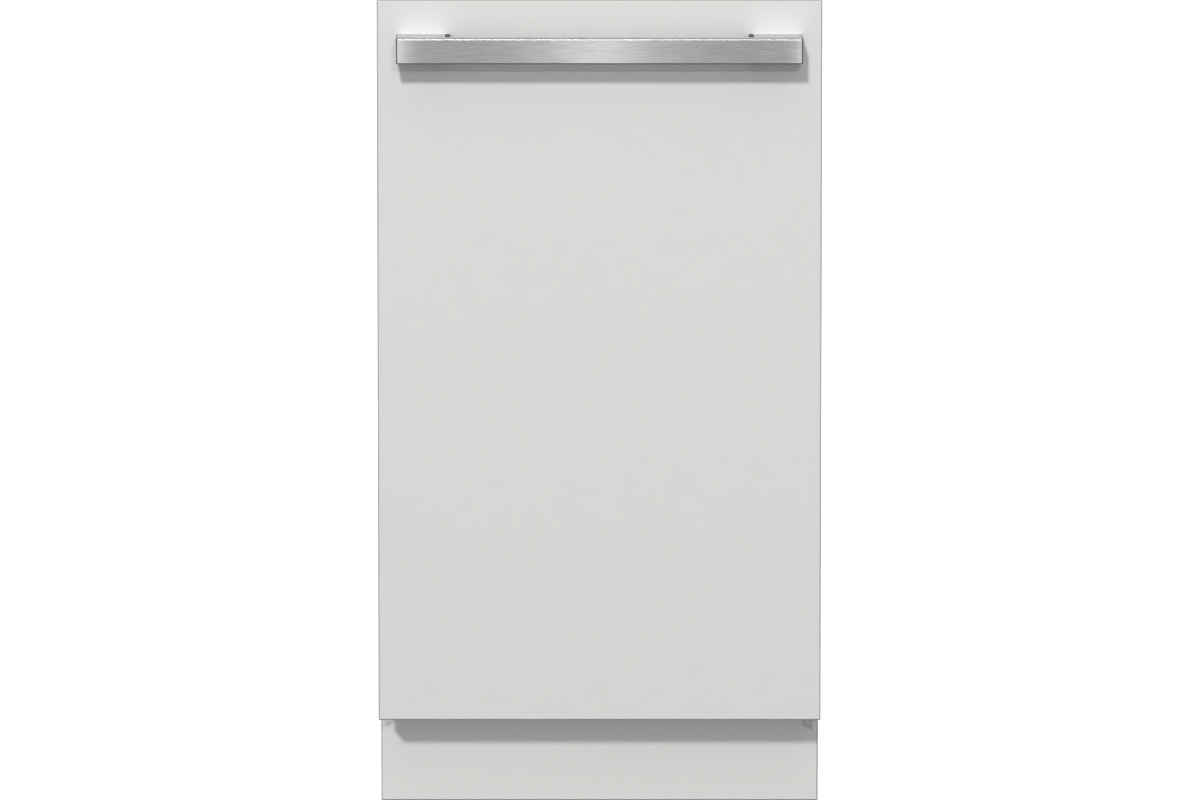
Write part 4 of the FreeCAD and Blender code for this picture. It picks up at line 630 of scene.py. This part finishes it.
def bent(points, radius, steps=5):
    """A line of points with its inner corners rounded."""
    line = [Vector(points[0])]
    for before, here, after in zip(points, points[1:], points[2:]):
        here, back, ahead = Vector(here), Vector(before) - Vector(here), Vector(after) - Vector(here)
        turn = back.angle(ahead)
        reach = min(radius / math.tan(turn / 2), back.length * 0.49, ahead.length * 0.49)
        start, end = here + back.normalized() * reach, here + ahead.normalized() * reach
        for k in range(steps + 1):
            t = k / steps
            line.append(start * (1 - t) ** 2 + here * 2 * t * (1 - t) + end * t ** 2)
    line.append(Vector(points[-1]))
    return line


def ring_of(points, radius):
    """A closed line with all corners rounded."""
    return bent([points[-1], *points, points[0]], radius)[1:-1]


def wires(node, runs, rings=()):
    """The coated wires of a node. Runs are (points, thickness). Rings are the same, but shut."""
    name = node + "_wire"
    line = bpy.data.curves.new(name, "CURVE")
    line.dimensions = "3D"
    line.bevel_depth = MM
    line.bevel_resolution = 2
    line.use_fill_caps = True
    for (points, thick), shut in [(r, False) for r in runs] + [(r, True) for r in rings]:
        spline = line.splines.new("POLY")
        spline.points.add(len(points) - 1)
        spline.use_cyclic_u = shut
        for spot, point in zip(spline.points, points):
            spot.co = (*(Vector(point) * MM), 1.0)
            spot.radius = thick / 2
    return settled(name, line, node, "rack_coating", [node])


def evenly(low, high, count):
    return [low + (high - low) * i / (count - 1) for i in range(count)]


print("wire helpers ready")

# %% [markdown]
# The lower rack is welded from nylon-coated wire. Wires bent to a U run across, straight ones run along
# on top of them, and a thicker rim dips at the front so that plates can be loaded. The pegs for plates
# stand in three rows. All wires lie where the CAD grid is, so the rack still clears the wheels, the spray
# arm and the tub.

# %% Lower rack
RACK_FRONT, RACK_BACK = -156.3, 254.5
LOWER_HALF, LOWER_FLOOR, LOWER_TOP, LOWER_FRONT_TOP = 182.0, 184.2, 330.2, 276.2
WIRE, RIM_WIRE, PEG_WIRE = 3.2, 4.6, 3.0
RIM_DROP, ALONG_LIFT, HOOP_INSET = 2.4, 4.6, 4.8


def lower_rim(y):
    """Height of the rim along the depth: low in front, then a slope up."""
    slope = min(1.0, max(0.0, (y + 118.0) / 70.0))
    return LOWER_FRONT_TOP + (LOWER_TOP - LOWER_FRONT_TOP) * slope


def basket(half, floor, rim, cross, along, bend):
    """The U wires across and the wires along of a rack."""
    runs = []
    side, low = half - WIRE / 2, floor + WIRE / 2
    for y in evenly(RACK_FRONT + 20, RACK_BACK - 20, cross):
        high = rim(y) - RIM_DROP
        turn = [(-side, y, high), (-side, y, low), (side, y, low), (side, y, high)]
        runs.append((bent(turn, bend), WIRE))
    front, back = RACK_FRONT + WIRE / 2, RACK_BACK - WIRE / 2
    low = floor + ALONG_LIFT
    front_high, back_high = rim(front) - RIM_DROP, rim(back) - RIM_DROP
    for x in evenly(26 - half, half - 26, along):
        turn = [(x, front, front_high), (x, front, low), (x, back, low), (x, back, back_high)]
        runs.append((bent(turn, bend), WIRE))
    return runs


def hoop(half, height, inset):
    """A closed wire round the rack, whose height may change along the depth."""
    side, front, back = half - inset, RACK_FRONT + inset, RACK_BACK - inset
    depths = [front, *evenly(front + 30, back - 30, 14), back]
    plan = [(-side, y) for y in depths] + [(side, y) for y in reversed(depths)]
    return ring_of([(x, y, height(y)) for x, y in plan], 16.0)


def pegs(rows, count, low, high):
    """Rows of upright pegs, each row on a wire of its own."""
    runs = []
    for x in rows:
        runs.append(([(x, RACK_FRONT + 3, low), (x, RACK_BACK - 3, low)], PEG_WIRE))
        for i in range(count):
            y = RACK_FRONT + (RACK_BACK - RACK_FRONT) * (i + 1) / (count + 1)
            runs.append(([(x, y, low), (x, y, high - 6), (x, y, high - 1.2)], PEG_WIRE))
    return runs


lower_runs = basket(LOWER_HALF, LOWER_FLOOR, lower_rim, cross=14, along=9, bend=14.0)
lower_runs += pegs((-91.0, 0.0, 91.0), 9, LOWER_FLOOR + ALONG_LIFT, LOWER_FLOOR + 72.0)
lower_rings = [
    (hoop(LOWER_HALF, lambda y: lower_rim(y) - RIM_DROP, RIM_DROP), RIM_WIRE),
    (hoop(LOWER_HALF, lambda y: LOWER_FLOOR + 62.0, HOOP_INSET), WIRE),
    (hoop(LOWER_HALF, lambda y: LOWER_FLOOR + 30.0, HOOP_INSET), WIRE),
]
wires("lower_rack", lower_runs, lower_rings)
print("lower rack wires", len(lower_runs) + len(lower_rings))

# %% [markdown]
# The wheels hang on moulded carriers that clip to the rack's side. A carrier is a plate with a round
# foot, an axle boss and two clips. The wheel is a turned tyre and hub joined by spokes, as light plastic
# wheels are.

# %% Wheel carriers and wheels
AXLE_Z, CARRIER_X, WHEEL_X = 157.6, 182.2, 186.2
AXLES = {"wheels_front": -54.3, "wheels_rear": 195.5}


def upright_plate(shape, outline, x_low, x_high, edge):
    """A plate in the YZ plane between two X values, with chamfered rims."""
    count = len(outline)
    middle = Vector((sum(p[0] for p in outline) / count, sum(p[1] for p in outline) / count))

    def ring(x, inset):
        points = []
        for p in outline:
            away = Vector(p) - middle
            q = middle + away * (1 - inset / max(away.length, 1e-6))
            points.append((x, q.x, q.y))
        return points

    rings = [ring(x_low, edge), ring(x_low + edge, 0), ring(x_high - edge, 0), ring(x_high, edge)]
    return skin(shape, rings)


def carrier(shape, y, side):
    foot = AXLE_Z - 9
    corners = [(y - 12, 214), (y - 9, foot), (y + 9, foot), (y + 12, 214)]
    x_low, x_high = sorted((side * CARRIER_X, side * 185.6))
    upright_plate(shape, rounded(corners, [5, 8.5, 8.5, 5]), x_low, x_high, 0.8)
    boss = [(0.6, 0), (4, 0), (4, 13.2), (3.2, 13.9), (0.6, 13.9)]
    turned(shape, (side * CARRIER_X, y, AXLE_Z), (side, 0, 0), boss, 20)
    clip = corners_of((1.8, -8), (3.0, 8))
    for z in (187.6, 209.0):
        turned(shape, (side * 180.4, y, z), (0, 1, 0), clip, 14)


carriers = bmesh.new()
for y in AXLES.values():
    for side in (-1, 1):
        carrier(carriers, y, side)
solid("wheel_carriers", carriers, "lower_rack", "tray_plastic")


def wheel(shape, y, side):
    at = (side * WHEEL_X, y, AXLE_Z)
    out = (side, 0, 0)
    tyre = [(13.4, 0.4), (16.4, 0.2), (17.6, 2.0), (18.0, 4.8), (17.6, 7.6), (16.4, 9.4), (13.4, 9.2),
            (12.6, 4.8)]
    hub = [(4.06, 0.2), (6.6, 0.2), (7.2, 1.0), (7.2, 8.6), (6.6, 9.4), (4.06, 9.4)]
    turned(shape, at, out, tyre, 40)
    turned(shape, at, out, hub, 28)
    for i in range(6):
        turn = Matrix.Rotation(math.tau * i / 6, 3, "X")
        rings = []
        for r, half in ((6.8, 1.9), (9.5, 1.3), (13.2, 1.9)):
            corners = corners_of((2.4, -half), (7.2, half))
            rings.append([Vector(at) + turn @ Vector((side * a, b, r)) for a, b in corners])
        skin(shape, rings)


for name, y in AXLES.items():
    rollers = bmesh.new()
    wheel(rollers, y, -1)
    wheel(rollers, y, 1)
    solid(name + "_spoked", rollers, name, "tray_plastic", [name])
print("wheels on", list(AXLES))

# %% [markdown]
# The upper rack is made like the lower one, but shallower and with a level rim. Its two runners are
# rolled steel bars that slide inside the telescopic rails, with small rollers along their inner face.

# %% Upper rack
UPPER_HALF, UPPER_FLOOR, UPPER_TOP = 187.2, 474.2, 590.2
upper_runs = basket(UPPER_HALF, UPPER_FLOOR, lambda y: UPPER_TOP, cross=14, along=9, bend=12.0)
upper_runs += pegs((-62.4, 62.4), 8, UPPER_FLOOR + ALONG_LIFT, UPPER_FLOOR + 46.0)
upper_rings = [
    (hoop(UPPER_HALF, lambda y: UPPER_TOP - RIM_DROP, RIM_DROP), RIM_WIRE),
    (hoop(UPPER_HALF, lambda y: UPPER_FLOOR + 52.0, HOOP_INSET), WIRE),
]
wires("upper_rack", upper_runs, upper_rings)

RAIL_Z = 545.2
half_section = [(190.6, 6.0), (196.1, 7.2), (196.1, 10.2), (195.2, 11.1), (189.0, 11.1), (187.3, 10.8)]
bar_section = [(x, -z) for x, z in reversed(half_section)] + half_section
roller = [(0.5, 0), (5.2, 0), (5.6, 0.8), (5.6, 4.6), (0.5, 5.2)]
runners = bmesh.new()
for side in (-1, 1):
    bar_ends = (RACK_FRONT + 0.3, RACK_BACK - 0.3)
    skin(runners, [[(side * x, y, RAIL_Z + z) for x, z in bar_section] for y in bar_ends])
    for y in evenly(RACK_FRONT + 30, RACK_BACK - 30, 7):
        turned(runners, (side * 190.4, y, RAIL_Z), (side, 0, 0), roller, 20)
solid("upper_runners", runners, "upper_rack", "bracket_steel")
print("upper rack wires", len(upper_runs) + len(upper_rings))

# %% [markdown]
# The cup shelf folds up against the rack's left side. It is a wire frame with a waved front edge that
# stops cups and glass stems from rolling, and it turns on a thicker rod.

# %% Cup shelf
SHELF_X, SHELF_Z = -180.8, 572.2
SHELF_WIRE, WAVE_STEPS, STEPS_PER_WAVE = 2.8, 128, 16
shelf_front, shelf_back = RACK_FRONT + 24, RACK_BACK - 24
shelf_runs = [([(SHELF_X, shelf_front, SHELF_Z), (SHELF_X, shelf_back, SHELF_Z)], 5.4)]
for y in evenly(shelf_front + 4, shelf_back - 4, 13):
    shelf_runs.append(([(SHELF_X, y, SHELF_Z), (-99.0, y, SHELF_Z)], SHELF_WIRE))
for x in (-152.0, -126.0):
    shelf_runs.append(([(x, shelf_front + 2, SHELF_Z), (x, shelf_back - 2, SHELF_Z)], SHELF_WIRE))
wave = []
for i in range(WAVE_STEPS + 1):
    swing = 3.2 * math.cos(math.tau * i / STEPS_PER_WAVE)
    y = shelf_front + 2 + (shelf_back - shelf_front - 4) * i / WAVE_STEPS
    wave.append((-101.5 + swing, y, SHELF_Z))
shelf_runs.append((wave, WIRE))
wires("cup_shelf", shelf_runs)
print("cup shelf wires", len(shelf_runs))

# %% [markdown]
# Combs stand on the cutlery tray's floor and keep knives and forks apart. Each comb is a strip whose top
# edge is a wave. The wave is real geometry, because it is what the eye looks for in such a tray.

# %% Cutlery combs
TRAY_FLOOR = 719.2
COMB_X = (-150.0, -92.0, -34.0, 34.0, 92.0, 150.0)
combs = bmesh.new()
for x in COMB_X:
    rings = []
    for i, y in enumerate(evenly(RACK_FRONT + 6, RACK_BACK - 6, 225)):
        top = TRAY_FLOOR + 12.0 + 5.0 * math.cos(math.tau * i / STEPS_PER_WAVE)
        side = [(1.3, TRAY_FLOOR - 0.6), (1.1, top - 1.0), (0.5, top)]
        rings.append([(x + a, y, z) for a, z in side] + [(x - a, y, z) for a, z in reversed(side)])
    skin(combs, rings)
for y in (-60.0, 50.0, 160.0):
    block(combs, (-184.2, y - 1.2, TRAY_FLOOR - 0.4), (184.2, y + 1.2, TRAY_FLOOR + 7.0), 0.8)
solid("cutlery_combs", combs, "cutlery_tray", "cap_plastic", sharp=50.0)
print("combs", len(COMB_X))

# %% [markdown]
# A spray arm is two moulded shells welded at mid height, so it is flat on top, rounded at the rims and
# has a thin seam. It is lofted from stations along its length: each station is a soft rectangle that
# narrows towards the tip. The nozzles are turned cups at the places of the CAD holes.

# %% Spray arms
ARM_Y = 53.1
ARM_THICK = 12.0


def arm_section(x, half, thick, middle):
    ring = []
    for i in range(24):
        a = math.tau * i / 24
        c, s = math.cos(a), math.sin(a)
        y = half * math.copysign(abs(c) ** 0.6, c)
        z = thick / 2 * math.copysign(abs(s) ** 0.55, s)
        seam = 0.7 if i in (0, 12) else 0.0
        ring.append((x, ARM_Y + y + math.copysign(seam, c), middle + z))
    return ring


def spray_arm(name, node, reach, low, boss_low, boss_high, bore):
    shape = bmesh.new()
    stations = [0.1, 0.3, 0.5, 0.7, 0.9, 0.94, 0.965, 0.985, 1.0]
    rings = []
    for s in [-s for s in reversed(stations)] + stations:
        away = abs(s) * reach
        half = 18.0 - 8.4 * max(0.0, away - 16.0) / (reach - 16.0)
        tip = min(1.0, (reach - away) / 9.0)
        ease = 0.45 + 0.55 * math.sqrt(1 - (1 - tip) ** 2)
        thick = ARM_THICK * (0.5 + 0.5 * ease)
        rings.append(arm_section(s * reach, half * ease, thick, low + ARM_THICK / 2))
    skin(shape, rings)
    top = low + ARM_THICK
    upright, pivot = (0, 0, 1), (0, ARM_Y, 0)
    nozzle = [(1.3, -0.6), (4.6, -0.6), (4.4, 0.5), (3.2, 1.5), (2.2, 1.5), (1.3, 0.3)]
    for i in range(1, 5):
        for side in (1, -1):
            turned(shape, (side * reach * i / 5, ARM_Y + side * 10 / 3, top - 0.3), upright, nozzle, 20)
    boss = [(bore, boss_low), (15.2, boss_low), (16, boss_low + 0.8), (16, boss_high), (bore, boss_high)]
    turned(shape, pivot, upright, boss, 36)
    if boss_low < low:
        knob = [(0.4, top - 0.5), (11, top - 0.5), (10, top + 1.6), (4, top + 2.2), (0.4, top + 2.2)]
        turned(shape, pivot, upright, knob, 30)
    return solid(name, shape, node, "spray_plastic", [node])


ARMS = {
    "lower": (178.0, 156.2, 149.2, 157.0, 12.06),
    "middle": (168.0, 442.8, 454.0, 461.8, 9.06),
    "top": (150.0, 769.6, 780.8, 788.6, 9.06),
}
for level, sizes in ARMS.items():
    spray_arm(level + "_arm_shell", level + "_spray_arm", *sizes)
print("arms", list(ARMS))

# %% [markdown]
# The door seal is a rubber extrusion pushed onto the tub's front flange. It has a flat foot and a hollow
# bulb that the door presses. The CAD has a plain ring there. Here the true profile is swept round the
# same loop.

# %% Door seal
FRAME_Y = -179.5
seal_loop = rounded(corners_of((-207.0, 132.4), (207.0, 808.0)), [9, 9, 35, 35], 10)
seal_path = [(p.x, FRAME_Y, p.y) for p in seal_loop]
seal_profile = [(-6, 0), (-6, 2.0), (-4.6, 2.5), (-4.0, 3.4), (-4.4, 5.0), (-3.6, 6.6), (-1.6, 7.4),
                (0.8, 7.5), (2.6, 6.7), (3.4, 5.2), (2.8, 3.6), (3.4, 2.6), (4.2, 3.4), (5.2, 3.2),
                (6, 2.0), (6, 0)]
seal = swept(bmesh.new(), seal_path, seal_profile, (0, -1, 0))
solid("door_seal", seal, "cabinet", "gasket_rubber", ["door_gasket"], sharp=60.0)
print("seal points", len(seal_path))

# %% [markdown]
# Thin sheet is stiffened by pressed beads. They are half-round ridges that run round a field or along a
# wall. One profile serves the tub, the door's inner face and the outer sheets, with its own height on
# each.

# %% Pressed beads


def bead_profile(width, height):
    steps = [(-0.5, -0.15), (-0.36, 0.35), (-0.18, 0.85), (0, 1.0),
             (0.18, 0.85), (0.36, 0.35), (0.5, -0.15)]
    return [(a * width, b * height) for a, b in steps]


def field_bead(shape, low, high, radius, to_space, up, width, height):
    """A bead round a field given by two corners, in the plane that to_space maps to."""
    loop = rounded(corners_of(low, high), [radius] * 4)
    return swept(shape, [to_space(p.x, p.y) for p in loop], bead_profile(width, height), up)


def straight_bead(shape, start, end, up, width, height):
    return swept(shape, [start, end], bead_profile(width, height), up, shut=False)


LINER_Y, TUB_BACK_Y, BACK_Y = -187.5, 284.5, 304.5
TUB_SIDE_X, SIDE_X = 200, 224
INWARDS, BACKWARDS = (0, -1, 0), (0, 1, 0)


def upright_at(y):
    """Maps a field to an upright plane at a depth."""
    return lambda x, z: (x, y, z)


door_beads = bmesh.new()
for low, high in (((-176, 158), (176, 378)), ((-176, 612), (176, 776))):
    field_bead(door_beads, low, high, 26, upright_at(LINER_Y), BACKWARDS, 9.0, 1.6)
for x in (-140, 140):
    field_bead(door_beads, (x - 26, 412), (x + 26, 578), 14, upright_at(LINER_Y), BACKWARDS, 7.0, 1.4)
solid("door_liner_beads", door_beads, "door", "tub_steel")

tub_beads = bmesh.new()
for side in (-1, 1):
    wall = side * TUB_SIDE_X
    for z in (392.0, 420.0, 640.0, 668.0):
        straight_bead(tub_beads, (wall, -140, z), (wall, 265, z), (-side, 0, 0), 14.0, 1.8)
    low, high = (side * 108 - 58, 360), (side * 108 + 58, 700)
    field_bead(tub_beads, low, high, 24, upright_at(TUB_BACK_Y), INWARDS, 10.0, 2.0)
solid("tub_beads", tub_beads, "cabinet", "tub_steel")

sheet_beads = bmesh.new()
field_bead(sheet_beads, (-186, 176), (186, 786), 30, upright_at(BACK_Y), BACKWARDS, 12.0, 1.6)
for z in (330.0, 482.0, 634.0):
    straight_bead(sheet_beads, (-160, BACK_Y, z), (160, BACK_Y, z), BACKWARDS, 12.0, 1.6)
for side in (-1, 1):
    wall, out = side * SIDE_X, (side, 0, 0)
    field_bead(sheet_beads, (-136, 116), (262, 772), 34, lambda y, z: (wall, y, z), out, 12.0, 1.2)
    for z in (280.0, 444.0, 608.0):
        straight_bead(sheet_beads, (wall, -112, z), (wall, 238, z), out, 12.0, 1.2)
outer_sheets.objects.link(solid("sheet_beads", sheet_beads, "cabinet", "cabinet_steel"))
print("beads on door, tub and sheets")

# %% [markdown]
# The outer sheets are held by screws with a hexagon head and a washer rim. A six-sided turned shape is
# the hexagon. A low dome on top and a small gap under the rim make them read as screws and not as dots.

# %% Sheet screws


def hex_screw(shape, place, out, tall):
    washer = [(0.3, -0.08), (4.6, -0.08), (4.8, 0.17), (4.4, 0.38), (0.3, 0.38)]
    head = [(0.3, 0.25), (3.4, 0.25), (3.4, 0.79), (2.9, 0.96), (0.3, 1.0)]
    turned(shape, place, out, [(r, h * tall) for r, h in washer], 20)
    turned(shape, place, out, [(r, h * tall) for r, h in head], 6)


HEAD_TALL, LOW_HEAD_TALL = 2.4, 1.4
back_places = [(x, BACK_Y, z) for x in (-206.0, 206.0) for z in (160.0, 330.0, 560.0, 800.0)]
back_places += [(x, BACK_Y, 802.0) for x in (-90.0, 90.0)]
side_places = [(y, z) for y in (-165.0, 60.0, 285.0) for z in (104.0, 800.0)]
screws = bmesh.new()
for place in back_places:
    hex_screw(screws, place, BACKWARDS, HEAD_TALL)
for side in (-1, 1):
    for y, z in side_places:
        hex_screw(screws, (side * SIDE_X, y, z), (side, 0, 0), LOW_HEAD_TALL)
outer_sheets.objects.link(solid("sheet_screws", screws, "cabinet", "spring_steel"))
print("screws", len(back_places) + 2 * len(side_places))

# %% [markdown]
# Three ports sit low at the back. The water inlet has a pipe thread, the drain spigot has barbs for a
# hose clamp, and the cable gland has a hexagon nut. A thread is a small triangle carried round a helix.

# %% Ports at the back


def helix_thread(shape, centre, root, crest, pitch, turns, start):
    """A triangle carried round a helix along Y, which fades in and out over half a turn."""
    rings = []
    steps = 28
    half_foot = Vector((0, pitch * 0.42, 0))
    for i in range(int(turns * steps) + 1):
        a = math.tau * i / steps
        fade = min(1.0, i / steps * 2, (turns * steps - i) / steps * 2)
        out = Vector((math.cos(a), 0, math.sin(a)))
        y = start + pitch * i / steps
        base = Vector((centre[0], y, centre[1]))
        high = root + (crest - root) * fade
        foot = base + out * root
        rings.append([foot - half_foot, base + out * high, foot + half_foot])
    return skin(shape, rings)


thread = helix_thread(bmesh.new(), (155, 85), root=13.0, crest=14.3, pitch=1.81, turns=7.5, start=289.0)
solid("inlet_thread", thread, "cabinet", "valve_plastic", sharp=20.0)
barb = [(10.2, 0), (12.0, 0.4), (11.8, 1.2), (10.6, 3.8), (10.2, 3.8)]
barbs = bmesh.new()
for y in (290.0, 294.4, 298.8):
    turned(barbs, (-40, y, 116), BACKWARDS, barb, 36)
solid("drain_barbs", barbs, "cabinet", "base_plastic")
hexagon = [(9.02, 0), (13.2, 0), (13.8, 0.8), (13.8, 7.4), (13.0, 8.2), (9.02, 8.2)]
collar = [(9.02, 0), (11.0, 0), (10.2, 3.4), (9.02, 3.8)]
nut = turned(bmesh.new(), (60, 290.6, 85), BACKWARDS, hexagon, 6)
turned(nut, (60, 298.6, 85), BACKWARDS, collar, 30)
solid("gland_nut", nut, "cabinet", "base_plastic", sharp=25.0)
print("ports: thread, barbs, nut")

# %% [markdown]
# The screw feet are moulded: a wide ribbed pad, a hexagon to turn them with a spanner and a coarse
# thread. The thread stays inside the tray until a foot is screwed down, so it is cut into the stem and
# never stands out.

# %% Screw feet
FEET = {
    "foot_front_left": (-188.0, -144.3),
    "foot_front_right": (188.0, -144.3),
    "foot_rear": (0.0, 262.5),
}
RIBS = 12


def screw_foot(shape, x, y):
    at, upright = Vector((x, y, 0)), Vector((0, 0, 1))
    pad = [(0.4, 0), (18.6, 0), (19.8, 1.2), (20, 4.2), (18.8, 5.4), (13, 9.6), (0.4, 9.6)]
    turned(shape, at, upright, pad, 40)
    for i in range(RIBS):
        a = math.tau * i / RIBS
        out, across = Vector((math.cos(a), math.sin(a), 0)), Vector((-math.sin(a), math.cos(a), 0))
        rings = []
        for r, h in ((10.6, 9.8), (18.6, 6.0)):
            section = corners_of((-1, 3), (1, h))
            rings.append([at + out * r + across * w + upright * z for w, z in section])
        skin(shape, rings)
    spanner_flats = [(0.4, 9.2), (10.2, 9.2), (11, 10), (11, 19.6), (10.2, 20.4), (0.4, 20.4)]
    turned(shape, at, upright, spanner_flats, 6)
    neck = [(0.4, 20), (9.6, 20), (9.6, 29.2), (9, 29.8), (0.4, 29.8)]
    turned(shape, at, upright, neck, 32)
    stem = [(0.4, 29.4)]
    for i in range(20):
        z = 30.0 + i * 3.0
        stem += [(5.9, z), (5.9, z + 1.1), (5.0, z + 1.6), (5.0, z + 2.6)]
    stem += [(5.4, 91.4), (0.4, 91.6)]
    turned(shape, at, upright, stem, 24)


for name, (x, y) in FEET.items():
    moulding = bmesh.new()
    screw_foot(moulding, x, y)
    solid(name + "_moulded", moulding, name, "foot_plastic", [name], sharp=30.0)
print("feet", list(FEET))

# %% [markdown]
# The controls sit on the door's top edge, where they are hidden when the door is shut under a worktop.
# The keys carry plain printed marks and the display shows a time left. Marks are cut as thin plates, so
# that they stay sharp from close up and survive the export as shapes.

# %% Marks on keys and display
prints = {
    "white_print": ((0.8, 0.8, 0.78), 0.02, (0.45, 0.6)),
    "lit_segment": ((0.75, 0.85, 0.9), 0.03, (0.4, 0.5)),
}
for slot, look in prints.items():
    finishes[slot] = grained(slot, *look, 900.0, depth=SMOOTH)
lit = finishes["lit_segment"].node_tree.nodes["Principled BSDF"]
lit.inputs["Emission Color"].default_value = (0.75, 0.9, 1.0, 1.0)
lit.inputs["Emission Strength"].default_value = 0.8
KEY_TOP, DISPLAY_TOP, STRIP_Y = 826.8, 826.0, -217.2
MARK_SUNK, MARK_THICK = 0.02, 0.14
KEYS = {"power_button": -185.0, "program_button": -115.0, "start_button": 185.0}


def flat_mark(shape, outline, x, z):
    """A thin plate on the door's top strip."""
    levels = (z - MARK_SUNK, z + MARK_THICK)
    return skin(shape, [[(x + a, STRIP_Y + b, level) for a, b in outline] for level in levels])


def bar(cx, cy, wide, high):
    return corners_of((cx - wide / 2, cy - high / 2), (cx + wide / 2, cy + high / 2))


def open_ring(radius, thick, start, end, steps=20):
    angles = [math.radians(start + (end - start) * i / steps) for i in range(steps + 1)]
    rim = [(radius, a) for a in angles] + [(radius - thick, a) for a in reversed(angles)]
    return [(r * math.cos(a), r * math.sin(a)) for r, a in rim]


marks = {
    "power_button": [open_ring(2.7, 0.6, 120, 420), bar(0, 2.0, 0.6, 2.6)],
    "program_button": [bar(0, 1.8, 5.0, 0.6), bar(0, 0, 5.0, 0.6), bar(0, -1.8, 5.0, 0.6)],
    "start_button": [[(-1.9, -2.3), (2.4, 0), (-1.9, 2.3)]],
}
for name, shapes in marks.items():
    plate = bmesh.new()
    for outline in shapes:
        flat_mark(plate, outline, KEYS[name], KEY_TOP)
    solid(name + "_mark", plate, name, "white_print")

SEGMENTS = {
    "a": (0, 4.2, 3.4, 0.9), "d": (0, -4.2, 3.4, 0.9), "g": (0, 0, 3.4, 0.9),
    "b": (2.1, 2.1, 0.9, 3.4), "c": (2.1, -2.1, 0.9, 3.4),
    "e": (-2.1, -2.1, 0.9, 3.4), "f": (-2.1, 2.1, 0.9, 3.4),
}
digits = bmesh.new()
for x, lit_segments in ((-11.0, "bc"), (2.0, "abgcd"), (10.0, "abcdef")):
    for segment in lit_segments:
        flat_mark(digits, bar(*SEGMENTS[segment]), x, DISPLAY_TOP)
for y in (-1.8, 1.8):
    flat_mark(digits, bar(-4.6, y, 1.0, 1.0), 0, DISPLAY_TOP)
for x in (-44.0, -36.0, -28.0, 28.0, 36.0, 44.0):
    flat_mark(digits, open_ring(1.6, 0.5, 0, 359.9, 24), x, DISPLAY_TOP)
solid("display_digits", digits, "door", "lit_segment")
print("marks", list(marks))

# %% [markdown]
# Small fittings finish the door: a release tab, a raised grip on the rinse-aid cap, and a dark cap at the
# inner end of each of the handle's feet, painted shade that stands in for the dark inner bend and shows
# as a dot above the bar. Under the plinth a lip closes the gap to the floor. It is the thin grey line at
# the very bottom of the picture.

# %% Small fittings
SUNK, SHOULDER, CREST = -0.2, 1.6, 2.2


def raised_pad(low, high, corner, face, shrink):
    """A pad on an upright face, whose crest is a little smaller than its foot."""
    outline = rounded(corners_of(low, high), [corner] * 4, 5)
    x, z = (low[0] + high[0]) / 2, (low[1] + high[1]) / 2
    return skin(bmesh.new(), [
        [(p.x, face + SUNK, p.y) for p in outline],
        [(p.x, face + SHOULDER, p.y) for p in outline],
        [(x + (p.x - x) * shrink[0], face + CREST, z + (p.y - z) * shrink[1]) for p in outline],
    ])


tab = raised_pad((28, 528), (64, 552), 6, -185.0, (0.94, 0.92))
solid("dispenser_release_tab", tab, "door", "key_plastic")
grip = raised_pad((29, 457.4), (63, 462.6), 2.4, -179.6, (0.96, 0.7))
solid("rinse_cap_grip", grip, "rinse_aid_cap", "cap_plastic")
# Dark caps at the inner ends of the handle's feet: painted shade for the dark inner bends.
shade_caps = bmesh.new()
for side in (-1, 1):
    low, high = sorted((side * 149.6, side * 155.2))
    block(shade_caps, (low, -291.0, 793.2), (high, -265.0, 794.25), 0.9)
solid("handle_foot_shade_caps", shade_caps, "door", "gasket_rubber")
LIP_HALF = 221.6
lip_profile = [(-214.0, 4.6), (-211.0, 4.6), (-211.0, 2.2), (-213.0, 0.5), (-215.4, 0.5), (-214.0, 2.2)]
lip = skin(bmesh.new(), [[(x, y, z) for y, z in lip_profile] for x in (-LIP_HALF, LIP_HALF)])
solid("plinth_floor_lip", lip, "cabinet", "filter_plastic")
print("small fittings: tab, grip, foot caps, floor lip")
